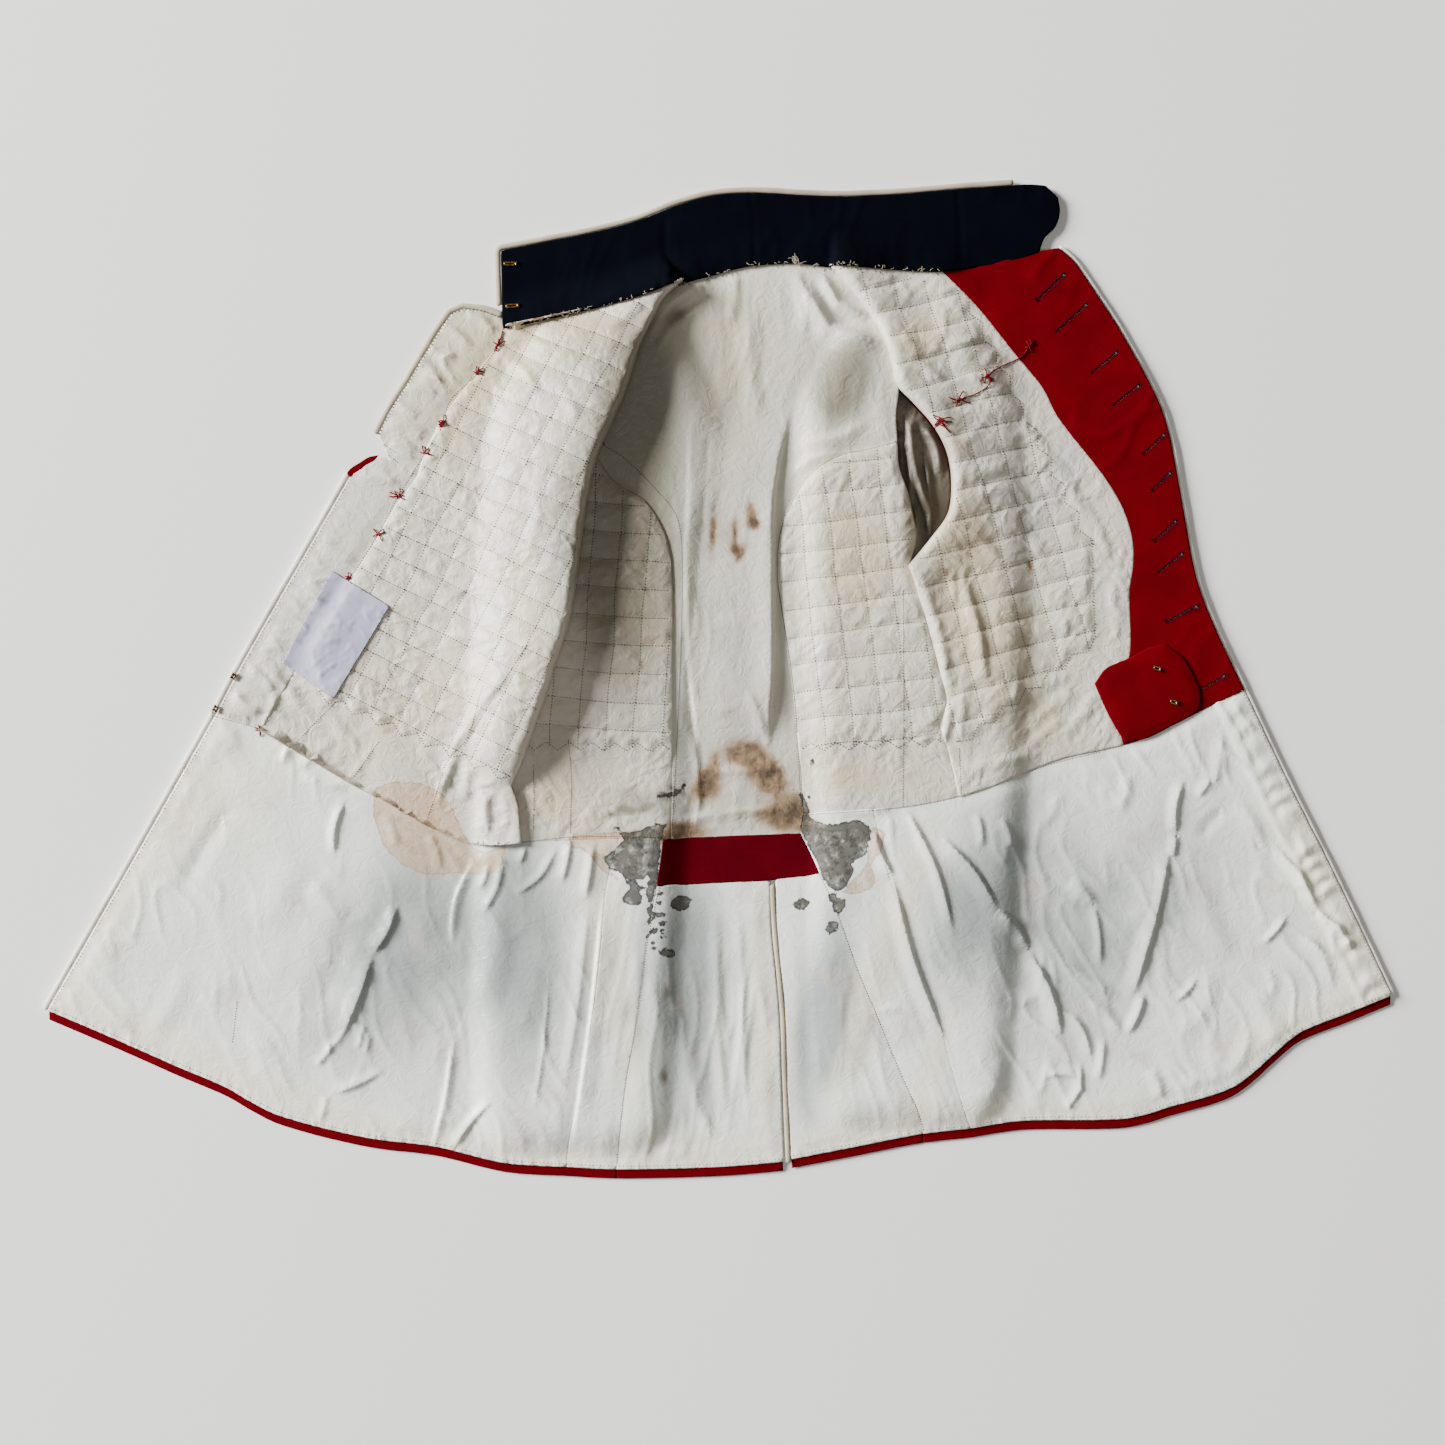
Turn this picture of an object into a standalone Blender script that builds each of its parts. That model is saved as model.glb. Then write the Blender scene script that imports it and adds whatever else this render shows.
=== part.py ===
"""A military tunic laid open on its outside, lining up.

The collar points to +Y, the hem to -Y and the wearer's right front to -X. The lining side faces
up (+Z) and the scarlet cloth lies on the surface. Every panel is a wall of cloth cut from one
plan of seams, so neighbours share their seam lines and a layer follows the one below it.
"""

import math

import bmesh
import bpy
import numpy as np
from mathutils import Vector
from mathutils.geometry import delaunay_2d_cdt

MM = 0.001

# Thicknesses and clearances, in millimetres
CLOTH = 1.8
SATIN = 1.5
GAP = 0.3
QUILT_LOW = 3.2
QUILT_HIGH = 6.6
TAB_THICK = 2.4
LABEL_THICK = 1.0
COLLAR_LINING = 2.4

# Sleeves, flat under the body
SLEEVE_THICK = 7.0
SLEEVE_EDGE = 3.0
SLEEVE_RAMP = 32.0
SLEEVE_EASE = 7.0
SLEEVE_CLEAR = 0.6
BRIDGE = 1.0

# Trimming and metal
PIPING_WIDE = 4.2
PIPING_FINE = 3.0
WIRE = 1.6

# Spacing of the points that carry the cloth's form
PLAN_STEP = 24.0
CURVE_STEP = 20.0
PUFF = 0.5

# How high the rolled chest edge stands, and how far in the roll begins
CHEST_RISE = 15.0
CHEST_REACH = 120.0
PADDING_SLACK = 2.4
ARMHOLE_RISE = 7.0
ARMHOLE_REACH = 45.0

# Rounded edges: how far in they reach, where their two curves meet, and half their least height
FOLD_ROUND = 9.0
ARMHOLE_ROUND = 7.0
EDGE_MEETS = 0.45
EDGE_HALF = 0.6

# The chest fold: how far before a place it starts to rise, and over what length
FOLD_UNDER = (16, 14)
FOLD_SLACK = (130, 40)
FOLD_OVER = (60, 58)
FOLD_FOOT = (136, 110)
FOLD_HEAD = (-200, 110)
HEAD_LOSS = 0.45

# Quilting: how far from its seams, its border and its rim the puffs reach their full height
SEAM_EASE = 6
BORDER_EASE = 5
WADDING_EASE = 10
PUFF_CLEAR = 4
FOLD_CLEAR = 12

# The field of points that the panels share: its size, its corner and its spacings
FIELD = (1120, 840)
FIELD_CORNER = (-560, -410)
ROW_SHARE = 0.87
COARSE = 2.2
SLEEVE_NEAR = 22
CREST_CLEAR = 14
FOOT_SHARE = 0.9
LINE_CLEAR = 0.38
RIM_CLEAR = 2.5

# The sleeves: spacing of the points over and under them, height at their edge, and the armhole
SLEEVE_TOP_STEP = 42
SLEEVE_FLAT_STEP = 90
SLEEVE_SIDE = 0.75
SLEEVE_CHAMFER = 1.5
PIT_FLOOR = 3.0
PIT_RIM = 2.4
PIT_RINGS = (1.0, 3.4)

# Lines of points that hold the chest fold's roll and its seam
ROLL_RINGS = (4, 9)
SEAM_RING = 17

# Small sewn-on pieces
TAB_STEP = (12, 22)
TAB_BEVEL = 0.9
LABEL_STEP = 20
LABEL_RAMP = 22

# Heights of the piping beads' middles, and the vent's thicker bead
COLLAR_BEAD = 2.4
FRONT_BEAD = 2.1
FACING_BEAD = 1.9
SKIRT_BEAD = 1.6
VENT_BEAD = 2.4
PIPING_VENT = 4.6

# Wire eyes: steps round the loop and round the wire
LOOP_STEPS = 12
WIRE_STEPS = 5


def clear_scene():
    for obj in list(bpy.data.objects):
        bpy.data.objects.remove(obj, do_unlink=True)


# Seams and edges seen from above. Columns: x, y in millimetres.
COLLAR_SEAM = [
    (-174, 283), (-104, 297), (-62, 307), (-29, 320), (-6, 327), (20, 334), (62, 337),
    (89, 334), (148, 331), (179, 330), (203, 333), (232, 338), (257, 345)]
COLLAR_TOP = [
    (-176, 345), (-140, 352), (-100, 360), (-64, 370), (-34, 382), (-4, 390), (28, 392),
    (64, 390), (97, 389), (146, 391), (192, 395), (236, 398), (252, 399)]
COLLAR_LOBE = [(252, 399), (264, 398), (273, 389), (274, 377), (270, 366), (262, 358), (257, 345)]
COLLAR_END = [(-174, 283), (-176, 345)]
FACING_EDGE = [
    (257, 345), (275, 348), (286, 338), (305, 310), (321, 285), (345, 241), (356, 217),
    (363, 192), (373, 133), (383, 78), (398, 37), (420, -11)]
FACING_SEAM = [
    (179, 330), (209, 299), (238, 262), (261, 233), (272, 211), (309, 162), (325, 134),
    (332, 109), (332, 88), (329, 69), (328, 15), (314, -11), (318, -35), (323, -55)]
SKIRT_EDGE_RIGHT = [(420, -11), (454, -85), (490, -159), (534, -254)]
SKIRT_EDGE_LEFT = [(-403, -30), (-472, -155), (-534, -266)]
UNDERLAP_EDGE = [
    (-174, 283), (-176, 290), (-192, 296), (-208, 298), (-217, 294), (-226, 281),
    (-252, 237), (-275, 196), (-271, 185), (-266, 174)]
UNDERLAP_CUT = [(-266, 174), (-244, 162)]
UNDERLAP_STEP = [(-266, 174), (-273, 176), (-297, 163)]
UNDERLAP_LOW_EDGE = [(-297, 163), (-307, 145), (-386, 4), (-403, -30)]
PLACKET = [
    (-174, 283), (-179, 269), (-196, 246), (-221, 213), (-238, 181), (-244, 162),
    (-259, 141), (-275, 114), (-297, 78), (-334, 17), (-368, -43)]
WAIST = [
    (-403, -30), (-368, -43), (-342, -58), (-296, -85), (-262, -103), (-231, -121),
    (-192, -134), (-158, -133), (-80, -130), (-45, -130), (-39, -130)]
WAIST_RIGHT = [
    (67, -110), (122, -107), (146, -106), (191, -97), (232, -82), (273, -66), (323, -55),
    (352, -44), (402, -19), (420, -11)]
BACK_FOOT = [(-39, -130), (12, -128), (64, -126)]
BACK_FOOT_CORNER = [(64, -126), (67, -110)]
CHEST_FOLD = [
    (-29, 320), (-46, 304), (-53, 290), (-64, 265), (-75, 229), (-86, 202), (-99, 172),
    (-105, 144), (-109, 116), (-114, 77), (-119, 45), (-130, 11), (-139, -19), (-148, -44),
    (-158, -71), (-166, -88), (-161, -103), (-158, -133)]
FRONT_SEAM_LEFT = [
    (-29, 320), (-44, 313), (-64, 286), (-88, 237), (-106, 189), (-120, 141), (-128, 81),
    (-142, 21), (-160, -35), (-170, -75), (-161, -103), (-158, -133)]
BACK_SEAM_LEFT = [
    (-106, 189), (-87, 158), (-61, 141), (-46, 118), (-40, 98), (-38, 67), (-38, 13),
    (-38, -59), (-39, -130)]
BACK_SEAM_RIGHT = [
    (142, 188), (113, 181), (94, 175), (76, 166), (60, 145), (51, 125), (47, 108), (46, 78),
    (50, 53), (56, 13), (60, -22), (65, -75), (67, -110)]
ARMHOLE_BACK = [
    (143, 234), (141, 211), (142, 188), (143, 169), (150, 148), (155, 126), (157, 113), (151, 88)]
ARMHOLE_FRONT = [
    (89, 334), (101, 320), (113, 306), (128, 282), (137, 258), (143, 234), (154, 222),
    (172, 201), (183, 178), (186, 149), (183, 130), (170, 111), (151, 88)]
SIDE_SEAM_RIGHT = [
    (151, 88), (158, 69), (169, 29), (176, 2), (181, -20), (175, -41), (182, -59), (191, -97)]
PLEAT_LEFT = [
    (-80, -130), (-90, -167), (-94, -211), (-100, -265), (-109, -318), (-119, -368), (-122, -389)]
SKIRT_SEAM_LEFT = [
    (-50, -168), (-58, -211), (-62, -244), (-68, -286), (-74, -321), (-79, -362), (-82, -391)]
PATCH_LEFT = [(-45, -130), (-50, -168)]
PATCH_RIGHT = [(64, -126), (80, -158)]
PATCH_FOOT = [(-50, -168), (-6, -165), (39, -163), (45, -162), (80, -158)]
VENT_LEFT = [(39, -163), (40, -201), (46, -265), (48, -330), (50, -385)]
VENT_RIGHT = [(45, -162), (46, -201), (52, -265), (54, -330), (57, -383)]
SKIRT_SEAM_RIGHT = [
    (80, -158), (95, -194), (110, -235), (125, -271), (142, -314), (157, -346), (161, -363)]
PLEAT_RIGHT = [
    (122, -107), (133, -154), (149, -201), (159, -231), (172, -265), (180, -299),
    (190, -335), (198, -359)]
LINING_HEM = [
    (-534, -266), (-484, -287), (-429, -311), (-391, -327), (-354, -347), (-281, -366),
    (-226, -373), (-170, -386), (-122, -389), (-82, -391), (2, -389), (50, -385)]
LINING_HEM_RIGHT = [
    (57, -383), (104, -374), (161, -363), (198, -359), (238, -353), (323, -351), (357, -342),
    (408, -326), (438, -302), (460, -284), (497, -269), (534, -254)]
HEM_SHOWS = 8.0
TAB = [
    (300, -6), (309, 6), (329, 15), (344, 23), (357, 26), (370, 16), (381, -2), (384, -25),
    (365, -38), (341, -50), (324, -53), (315, -39), (308, -25)]
LABEL = [(-312, 85), (-265, 56), (-309, -18), (-351, 11)]

# Flat sleeves. Columns: x, y of the middle line and the half width, shoulder to cuff.
SLEEVES = {
    "sleeve_left": [(-90, 254, 34), (-92, 215, 56), (-104, 60, 58), (-112, -120, 52),
                    (-116, -345, 46)],
    "sleeve_right": [(152, 256, 34), (152, 215, 54), (156, 60, 58), (158, -120, 52),
                     (150, -325, 46)]}

# Largest folds of the lining. Columns: x0, y0, x1, y1, bend to the left of the line, the width
# of the fold's left and right side, and its height.
FOLDS = [
    (-261, -188, -299, -282, 4, 12, 15, 6.0),
    (-196, -150, -216, -264, -5, 10, 12, 6.0),
    (-209, -264, -233, -372, 5, 10, 12, 5.0),
    (-299, -86, -309, -130, 2, 9, 9, 3.5),
    (-312, -307, -262, -319, -3, 9, 9, 3.5),
    (-180, -339, -212, -375, 0, 9, 9, 3.0),
    (172, -127, 231, -190, 6, 10, 12, 5.0),
    (231, -190, 272, -290, 8, 12, 14, 6.0),
    (364, -131, 323, -282, -10, 12, 14, 6.0),
    (296, -203, 320, -283, 4, 10, 10, 4.0),
    (434, -138, 508, -223, 8, 10, 12, 5.0),
    (371, -79, 360, -123, 2, 9, 9, 3.5),
    (150, -115, 188, -207, 5, 8, 12, 4.5),
    (-6, 320, -62, 268, -10, 14, 14, 5.0),
    (65, 320, 131, 267, -16, 12, 16, 6.0),
    (-26, 262, -27, -120, 0, 14, 12, 3.0),
    (47, 154, 52, -60, 0, 12, 12, 3.0),
    (-96, -175, -116, -360, 2, 14, 8, 4.5),
    (136, -160, 186, -310, -4, 8, 14, 4.5),
    (-275, -72, -250, -40, 2, 9, 9, 3.0)]

# Folds of the sleeve lining in the armhole, in the same columns
ARMHOLE_FOLDS = [
    (152, 214, 172, 122, -5, 8, 8, 6.0),
    (163, 205, 178, 160, 4, 6, 6, 4.0)]

# Quilting. Columns: slope of the rows in degrees, cell along the row, cell across the rows,
# and the x, y that a row and a column pass through.
QUILTS = {
    "front_lining_left": (-26.6, 22.4, 19.2, -179, 269),
    "side_lining_left": (-4.0, 22.4, 22.4, -38, 67),
    "side_lining_right": (6.5, 22.4, 22.4, 50, 53),
    "front_lining_right": (15.0, 24.0, 22.4, 158, 69)}


def curve(rows, step=CURVE_STEP):
    """A smooth line through the rows; each row stays a point of the line."""
    rows = [np.array(row, float) for row in rows]
    if len(rows) == 2:
        count = max(1, round(np.linalg.norm(rows[1] - rows[0]) / step))
        return [tuple(rows[0] + (rows[1] - rows[0]) * i / count) for i in range(count + 1)]
    line = []
    for i in range(len(rows) - 1):
        a = rows[max(i - 1, 0)]
        b = rows[i]
        c = rows[i + 1]
        d = rows[min(i + 2, len(rows) - 1)]
        size = np.linalg.norm(c - b)
        start = (c - a) / max(np.linalg.norm(c - a), 1e-9) * size
        end = (d - b) / max(np.linalg.norm(d - b), 1e-9) * size
        count = max(1, round(size / step))
        for k in range(count):
            t = k / count
            line.append(tuple(
                b * (2 * t**3 - 3 * t**2 + 1) + start * (t**3 - 2 * t**2 + t)
                + c * (3 * t**2 - 2 * t**3) + end * (t**3 - t**2)))
    line.append(tuple(rows[-1]))
    return line


def stretch(rows, first, last):
    """The part of a seam between two of its rows, in that direction."""
    line = curve(rows)
    near = [min(range(len(line)), key=lambda i: math.dist(line[i], p)) for p in (first, last)]
    if near[0] <= near[1]:
        return line[near[0]:near[1] + 1]
    return line[near[1]:near[0] + 1][::-1]


def loop(*lines):
    """One closed outline from lines that follow each other end to end."""
    points = []
    for line in lines:
        if points and math.dist(points[-1], line[0]) > math.dist(points[-1], line[-1]):
            line = line[::-1]
        for p in line:
            if not points or math.dist(points[-1], p) > 0.01:
                points.append(p)
    if math.dist(points[0], points[-1]) < 0.01:
        points.pop()
    area = sum(points[i - 1][0] * points[i][1] - points[i][0] * points[i - 1][1]
               for i in range(len(points)))
    return points if area > 0 else points[::-1]


def inside(points, outline):
    """Which points lie inside an outline."""
    points = np.asarray(points, float)
    hit = np.zeros(len(points), bool)
    for i in range(len(outline)):
        ax, ay = outline[i - 1]
        bx, by = outline[i]
        if ay == by:
            continue
        across = (points[:, 1] < ay) != (points[:, 1] < by)
        x = ax + (points[:, 1] - ay) * (bx - ax) / (by - ay)
        hit ^= across & (points[:, 0] < x)
    return hit


def away(points, line, closed=False):
    """Distance of each point from a line."""
    points = np.asarray(points, float)
    best = np.full(len(points), 1e9)
    for i in range(0 if closed else 1, len(line)):
        a = np.array(line[i - 1])
        d = np.array(line[i]) - a
        t = np.clip(((points - a) @ d) / max(d @ d, 1e-9), 0, 1)
        best = np.minimum(best, np.linalg.norm(points - a - t[:, None] * d, axis=1))
    return best


def ease(t):
    t = np.clip(t, 0, 1)
    return t * t * (3 - 2 * t)


def offset(line, distance, closed=False):
    """The line moved to its left by a distance, with mitred corners."""
    moved = []
    count = len(line)
    for i in range(count):
        before = line[i - 1] if closed or i else None
        after = line[(i + 1) % count] if closed or i < count - 1 else None
        normals = []
        for a, b in ((before, line[i]), (line[i], after)):
            if a is not None and b is not None:
                d = np.array(b) - np.array(a)
                normals.append(np.array((-d[1], d[0])) / np.linalg.norm(d))
        n = sum(normals)
        n = n / np.linalg.norm(n)
        n = n / max(float(n @ normals[0]), 0.5)
        moved.append(tuple(np.array(line[i]) + n * distance))
    return moved


def hem_line(rows):
    """The outer cloth's hem, which shows below the lining's."""
    return [(x, y - HEM_SHOWS) for x, y in rows]


def sleeve_outline(rows):
    left = curve([(x - w, y) for x, y, w in rows], 40)
    right = curve([(x + w, y) for x, y, w in rows], 40)
    return loop(left, right[::-1])


# The pieces' outlines, each from the seams that bound it
OUTLINES = {
    "underlap_upper": loop(
        curve(UNDERLAP_EDGE), curve(UNDERLAP_CUT),
        stretch(PLACKET, (-244, 162), (-174, 283))),
    "underlap_lower": loop(
        curve(UNDERLAP_LOW_EDGE), stretch(WAIST, (-403, -30), (-368, -43)),
        stretch(PLACKET, (-368, -43), (-244, 162)), curve(UNDERLAP_CUT)[::-1],
        curve(UNDERLAP_STEP)),
    "front_base_left": loop(
        curve(PLACKET), stretch(WAIST, (-368, -43), (-158, -133)),
        curve(FRONT_SEAM_LEFT)[::-1], stretch(COLLAR_SEAM, (-29, 320), (-174, 283))),
    "front_lining_left": loop(
        curve(PLACKET), stretch(WAIST, (-368, -43), (-158, -133)),
        curve(CHEST_FOLD)[::-1], stretch(COLLAR_SEAM, (-29, 320), (-174, 283))),
    "side_lining_left": loop(
        stretch(FRONT_SEAM_LEFT, (-106, 189), (-158, -133)),
        stretch(WAIST, (-158, -133), (-39, -130)), curve(BACK_SEAM_LEFT)[::-1]),
    "back_lining": loop(
        stretch(FRONT_SEAM_LEFT, (-29, 320), (-106, 189)), curve(BACK_SEAM_LEFT),
        curve(BACK_FOOT), curve(BACK_FOOT_CORNER), curve(BACK_SEAM_RIGHT)[::-1],
        stretch(ARMHOLE_BACK, (142, 188), (143, 234)),
        stretch(ARMHOLE_FRONT, (143, 234), (89, 334)),
        stretch(COLLAR_SEAM, (89, 334), (-29, 320))),
    "side_lining_right": loop(
        curve(BACK_SEAM_RIGHT), stretch(WAIST_RIGHT, (67, -110), (191, -97)),
        curve(SIDE_SEAM_RIGHT)[::-1], stretch(ARMHOLE_BACK, (151, 88), (142, 188))),
    "front_lining_right": loop(
        curve(ARMHOLE_FRONT), curve(SIDE_SEAM_RIGHT),
        stretch(WAIST_RIGHT, (191, -97), (323, -55)), curve(FACING_SEAM)[::-1],
        stretch(COLLAR_SEAM, (179, 330), (89, 334))),
    "facing": loop(
        curve(FACING_SEAM), stretch(WAIST_RIGHT, (323, -55), (420, -11)),
        curve(FACING_EDGE)[::-1], stretch(COLLAR_SEAM, (257, 345), (179, 330))),
    "armhole_lining_right": loop(
        stretch(ARMHOLE_FRONT, (143, 234), (151, 88)), curve(ARMHOLE_BACK)[::-1]),
    "collar_lining": loop(
        curve(COLLAR_SEAM), curve(COLLAR_LOBE)[::-1], curve(COLLAR_TOP)[::-1],
        curve(COLLAR_END)[::-1]),
    "skirt_lining_front_left": loop(
        curve(SKIRT_EDGE_LEFT), stretch(LINING_HEM, (-534, -266), (-122, -389)),
        curve(PLEAT_LEFT)[::-1], stretch(WAIST, (-80, -130), (-403, -30))),
    "pleat_lining_left": loop(
        curve(PLEAT_LEFT), stretch(LINING_HEM, (-122, -389), (-82, -391)),
        curve(SKIRT_SEAM_LEFT)[::-1], curve(PATCH_LEFT)[::-1],
        stretch(WAIST, (-45, -130), (-80, -130))),
    "skirt_lining_back_left": loop(
        curve(SKIRT_SEAM_LEFT), stretch(LINING_HEM, (-82, -391), (50, -385)),
        curve(VENT_LEFT)[::-1], stretch(PATCH_FOOT, (39, -163), (-50, -168))),
    "skirt_lining_back_right": loop(
        curve(VENT_RIGHT), stretch(LINING_HEM_RIGHT, (57, -383), (161, -363)),
        curve(SKIRT_SEAM_RIGHT)[::-1], stretch(PATCH_FOOT, (80, -158), (45, -162))),
    "pleat_lining_right": loop(
        curve(SKIRT_SEAM_RIGHT), stretch(LINING_HEM_RIGHT, (161, -363), (198, -359)),
        curve(PLEAT_RIGHT)[::-1], stretch(WAIST_RIGHT, (122, -107), (67, -110)),
        curve(BACK_FOOT_CORNER)[::-1], curve(PATCH_RIGHT)),
    "skirt_lining_front_right": loop(
        curve(PLEAT_RIGHT), stretch(LINING_HEM_RIGHT, (198, -359), (534, -254)),
        curve(SKIRT_EDGE_RIGHT)[::-1], stretch(WAIST_RIGHT, (420, -11), (122, -107))),
    "back_waist_patch": loop(
        curve(PATCH_LEFT), curve(PATCH_FOOT), curve(PATCH_RIGHT)[::-1],
        stretch(BACK_FOOT, (64, -126), (-45, -130)))}
for side, rows in SLEEVES.items():
    OUTLINES[side] = sleeve_outline(rows)


# Where the quilting lies on each quilted lining. Columns: x, y.
QUILT_AREAS = {
    "front_lining_left": [
        (-334, 17), (-308, -19), (-251, -42), (-218, -58), (-166, -84), (-120, -60), (0, 330),
        (-170, 330)],
    "side_lining_left": [(-170, -56), (-30, -56), (-30, 200), (-170, 200)],
    "side_lining_right": [(40, -56), (195, -56), (160, 200), (40, 200)],
    "front_lining_right": [
        (186, -52), (223, -54), (252, -30), (273, 2), (289, 26), (304, 36), (306, 92),
        (286, 131), (260, 166), (238, 205), (212, 277), (184, 322), (80, 336), (140, 100)]}


def lift(points):
    """How far the sleeves beneath raise the body."""
    height = np.zeros(len(points))
    for side in SLEEVES:
        gap = away(points, OUTLINES[side], closed=True)
        gap[inside(points, OUTLINES[side])] = 0
        slope = ease(1 - (gap - SLEEVE_EASE) / SLEEVE_RAMP)
        height = np.maximum(height, (SLEEVE_THICK + SLEEVE_CLEAR) * slope)
    return height


def fold_line(row):
    """The crest of one fold, bent to one side in its middle."""
    x0, y0, x1, y1, bend = row[:5]
    a = np.array((x0, y0), float)
    b = np.array((x1, y1), float)
    d = (b - a) / np.linalg.norm(b - a)
    middle = (a + b) / 2 + bend * np.array((-d[1], d[0]))
    return curve([a, middle, b], 20)


def folds(points, rows):
    """The height of the folds over each point."""
    points = np.asarray(points, float)
    height = np.zeros(len(points))
    for row in rows:
        line = fold_line(row)
        left, right, rise = row[5:]
        a = np.array(line[0])
        d = np.array(line[-1]) - a
        side = d[0] * (points[:, 1] - a[1]) - d[1] * (points[:, 0] - a[0])
        reach = np.where(side > 0, left, right)
        along = np.clip((points - a) @ d / (d @ d), 0, 1)
        swell = ease(np.minimum(along, 1 - along) * 4 + 0.15)
        across = np.clip(away(points, line) / reach, 0, 1)
        height = np.maximum(height, rise * swell * (1 - across**2) ** 2)
    return height


def cloth_top(points):
    return lift(points) + CLOTH


def lining_floor(points):
    """The underside of the lining layer, which bridges the slopes beside the sleeves."""
    slope = np.sin(np.pi * lift(points) / (SLEEVE_THICK + SLEEVE_CLEAR))
    return cloth_top(points) + GAP + BRIDGE * np.abs(slope)


def lining_bottom(points):
    return lining_floor(points) + folds(points, FOLDS)


def lining_top(points):
    return lining_bottom(points) + SATIN


def quilting(name, points):
    """Thickness of a quilted lining: puffs between rows of stitches, thin at its seams."""
    slope, along, across, x0, y0 = QUILTS[name]
    points = np.asarray(points, float)
    c = math.cos(math.radians(slope))
    s = math.sin(math.radians(slope))
    u = ((points[:, 0] - x0) * c + (points[:, 1] - y0) * s) / along
    v = ((points[:, 1] - y0) * c - (points[:, 0] - x0) * s) / across
    puff = np.abs(np.sin(np.pi * u) * np.sin(np.pi * v)) ** PUFF
    area = QUILT_AREAS[name]
    depth = away(points, area, closed=True) * inside(points, area)
    edge = ease(away(points, OUTLINES[name], closed=True) / SEAM_EASE)
    low = SATIN + (QUILT_LOW - SATIN) * ease(depth / WADDING_EASE)
    return low + (QUILT_HIGH - QUILT_LOW) * puff * edge * ease(depth / BORDER_EASE)


def quilt_points(name):
    """Stitch crossings and puff centres of a quilted lining, half a cell apart."""
    slope, along, across, x0, y0 = QUILTS[name]
    c = math.cos(math.radians(slope))
    s = math.sin(math.radians(slope))
    points = []
    for i in range(-60, 61):
        for j in range(-60, 61):
            u = i * along / 2
            v = j * across / 2
            points.append((x0 + u * c - v * s, y0 + u * s + v * c))
    points = np.array(points)
    outline = OUTLINES[name]
    near = away(points, outline, closed=True)
    keep = inside(points, outline) & inside(points, QUILT_AREAS[name]) & (near > PUFF_CLEAR)
    return points[keep]


def rounded(points, line, radius, low, high):
    """Lower and upper heights drawn together into a rounded edge along a line."""
    d = np.clip(away(points, line) / radius, 0, 1)
    q = np.sqrt(1 - (1 - d) ** 2)
    under = low + EDGE_MEETS * (high - low) - EDGE_HALF
    over = under + 2 * EDGE_HALF
    return under - (under - low) * q, over + (high - over) * q


def ramp(distance, span):
    before, length = span
    return ease((distance + before) / length)


def chest(points):
    """Bottom and top of the left front, which rolls over the side body at its chest fold."""
    points = np.asarray(points, float)
    seam = curve(FRONT_SEAM_LEFT)
    outline = OUTLINES["front_base_left"]
    beyond = away(points, seam)
    beyond[inside(points, outline)] *= -1
    step = QUILT_HIGH + GAP
    low = lining_floor(points) + step * ramp(beyond, FOLD_UNDER)
    low = low + PADDING_SLACK * ramp(beyond, FOLD_SLACK)
    fold = curve(CHEST_FOLD)
    near = away(points, fold)
    down = points[:, 1]
    fade = ramp(down, FOLD_FOOT) * (1 - HEAD_LOSS * ramp(down, FOLD_HEAD))
    rise = CHEST_RISE * fade * ease(1 - near / CHEST_REACH)
    high = lining_floor(points) + quilting("front_lining_left", points) + rise
    high = high + step * ramp(beyond, FOLD_OVER)
    return rounded(points, fold, FOLD_ROUND, low, np.maximum(high, low + SATIN))


def right_front(points):
    """Bottom and top of the right front, raised along the armhole."""
    points = np.asarray(points, float)
    low = lining_floor(points)
    edge = curve(ARMHOLE_FRONT)
    rise = ARMHOLE_RISE * ease(1 - away(points, edge) / ARMHOLE_REACH)
    high = low + quilting("front_lining_right", points) + rise
    return low, rounded(points, edge, ARMHOLE_ROUND, low, high)[1]


def side_body(name, points):
    low = lining_floor(points)
    return low, low + quilting(name, points)


def border(faces):
    """The rim of a set of triangles, as point numbers in order."""
    edges = {(f[i - 1], f[i]) for f in faces for i in range(3)}
    after = {a: b for a, b in edges if (b, a) not in edges}
    rim = [min(after)]
    while after[rim[-1]] != rim[0]:
        rim.append(after[rim[-1]])
    return rim


def triangles(outline, points, rings=()):
    """Triangles that fill an outline, with the given points and closed rings inside it."""
    points = np.array(points, float).reshape(-1, 2)
    if len(points):
        clear = away(points, outline, closed=True) > RIM_CLEAR
        points = points[inside(points, outline) & clear]
    coords = [Vector(p) for p in outline]
    edges = []
    for ring in rings:
        start = len(coords)
        edges += [(start + i, start + (i + 1) % len(ring)) for i in range(len(ring))]
        coords += [Vector(p) for p in ring]
    coords += [Vector(p) for p in points]
    verts, _, faces = delaunay_2d_cdt(coords, edges, [list(range(len(outline)))], 1, 1e-4)[:3]
    return [tuple(v) for v in verts], turned_up(verts, faces)


def turned_up(verts, faces):
    result = []
    for a, b, c in faces:
        area = (verts[b] - verts[a]).cross(verts[c] - verts[a])
        if abs(area) > 1e-6:
            result.append((a, b, c) if area > 0 else (a, c, b))
    return result


def lattice(step):
    """Points in staggered rows over the whole garment."""
    wide, high = FIELD
    left, low = FIELD_CORNER
    points = []
    for j in range(int(high / (step * ROW_SHARE))):
        for i in range(int(wide / step)):
            points.append((left + (i + 0.5 * (j % 2)) * step, low + j * step * ROW_SHARE))
    return np.array(points)


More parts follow.
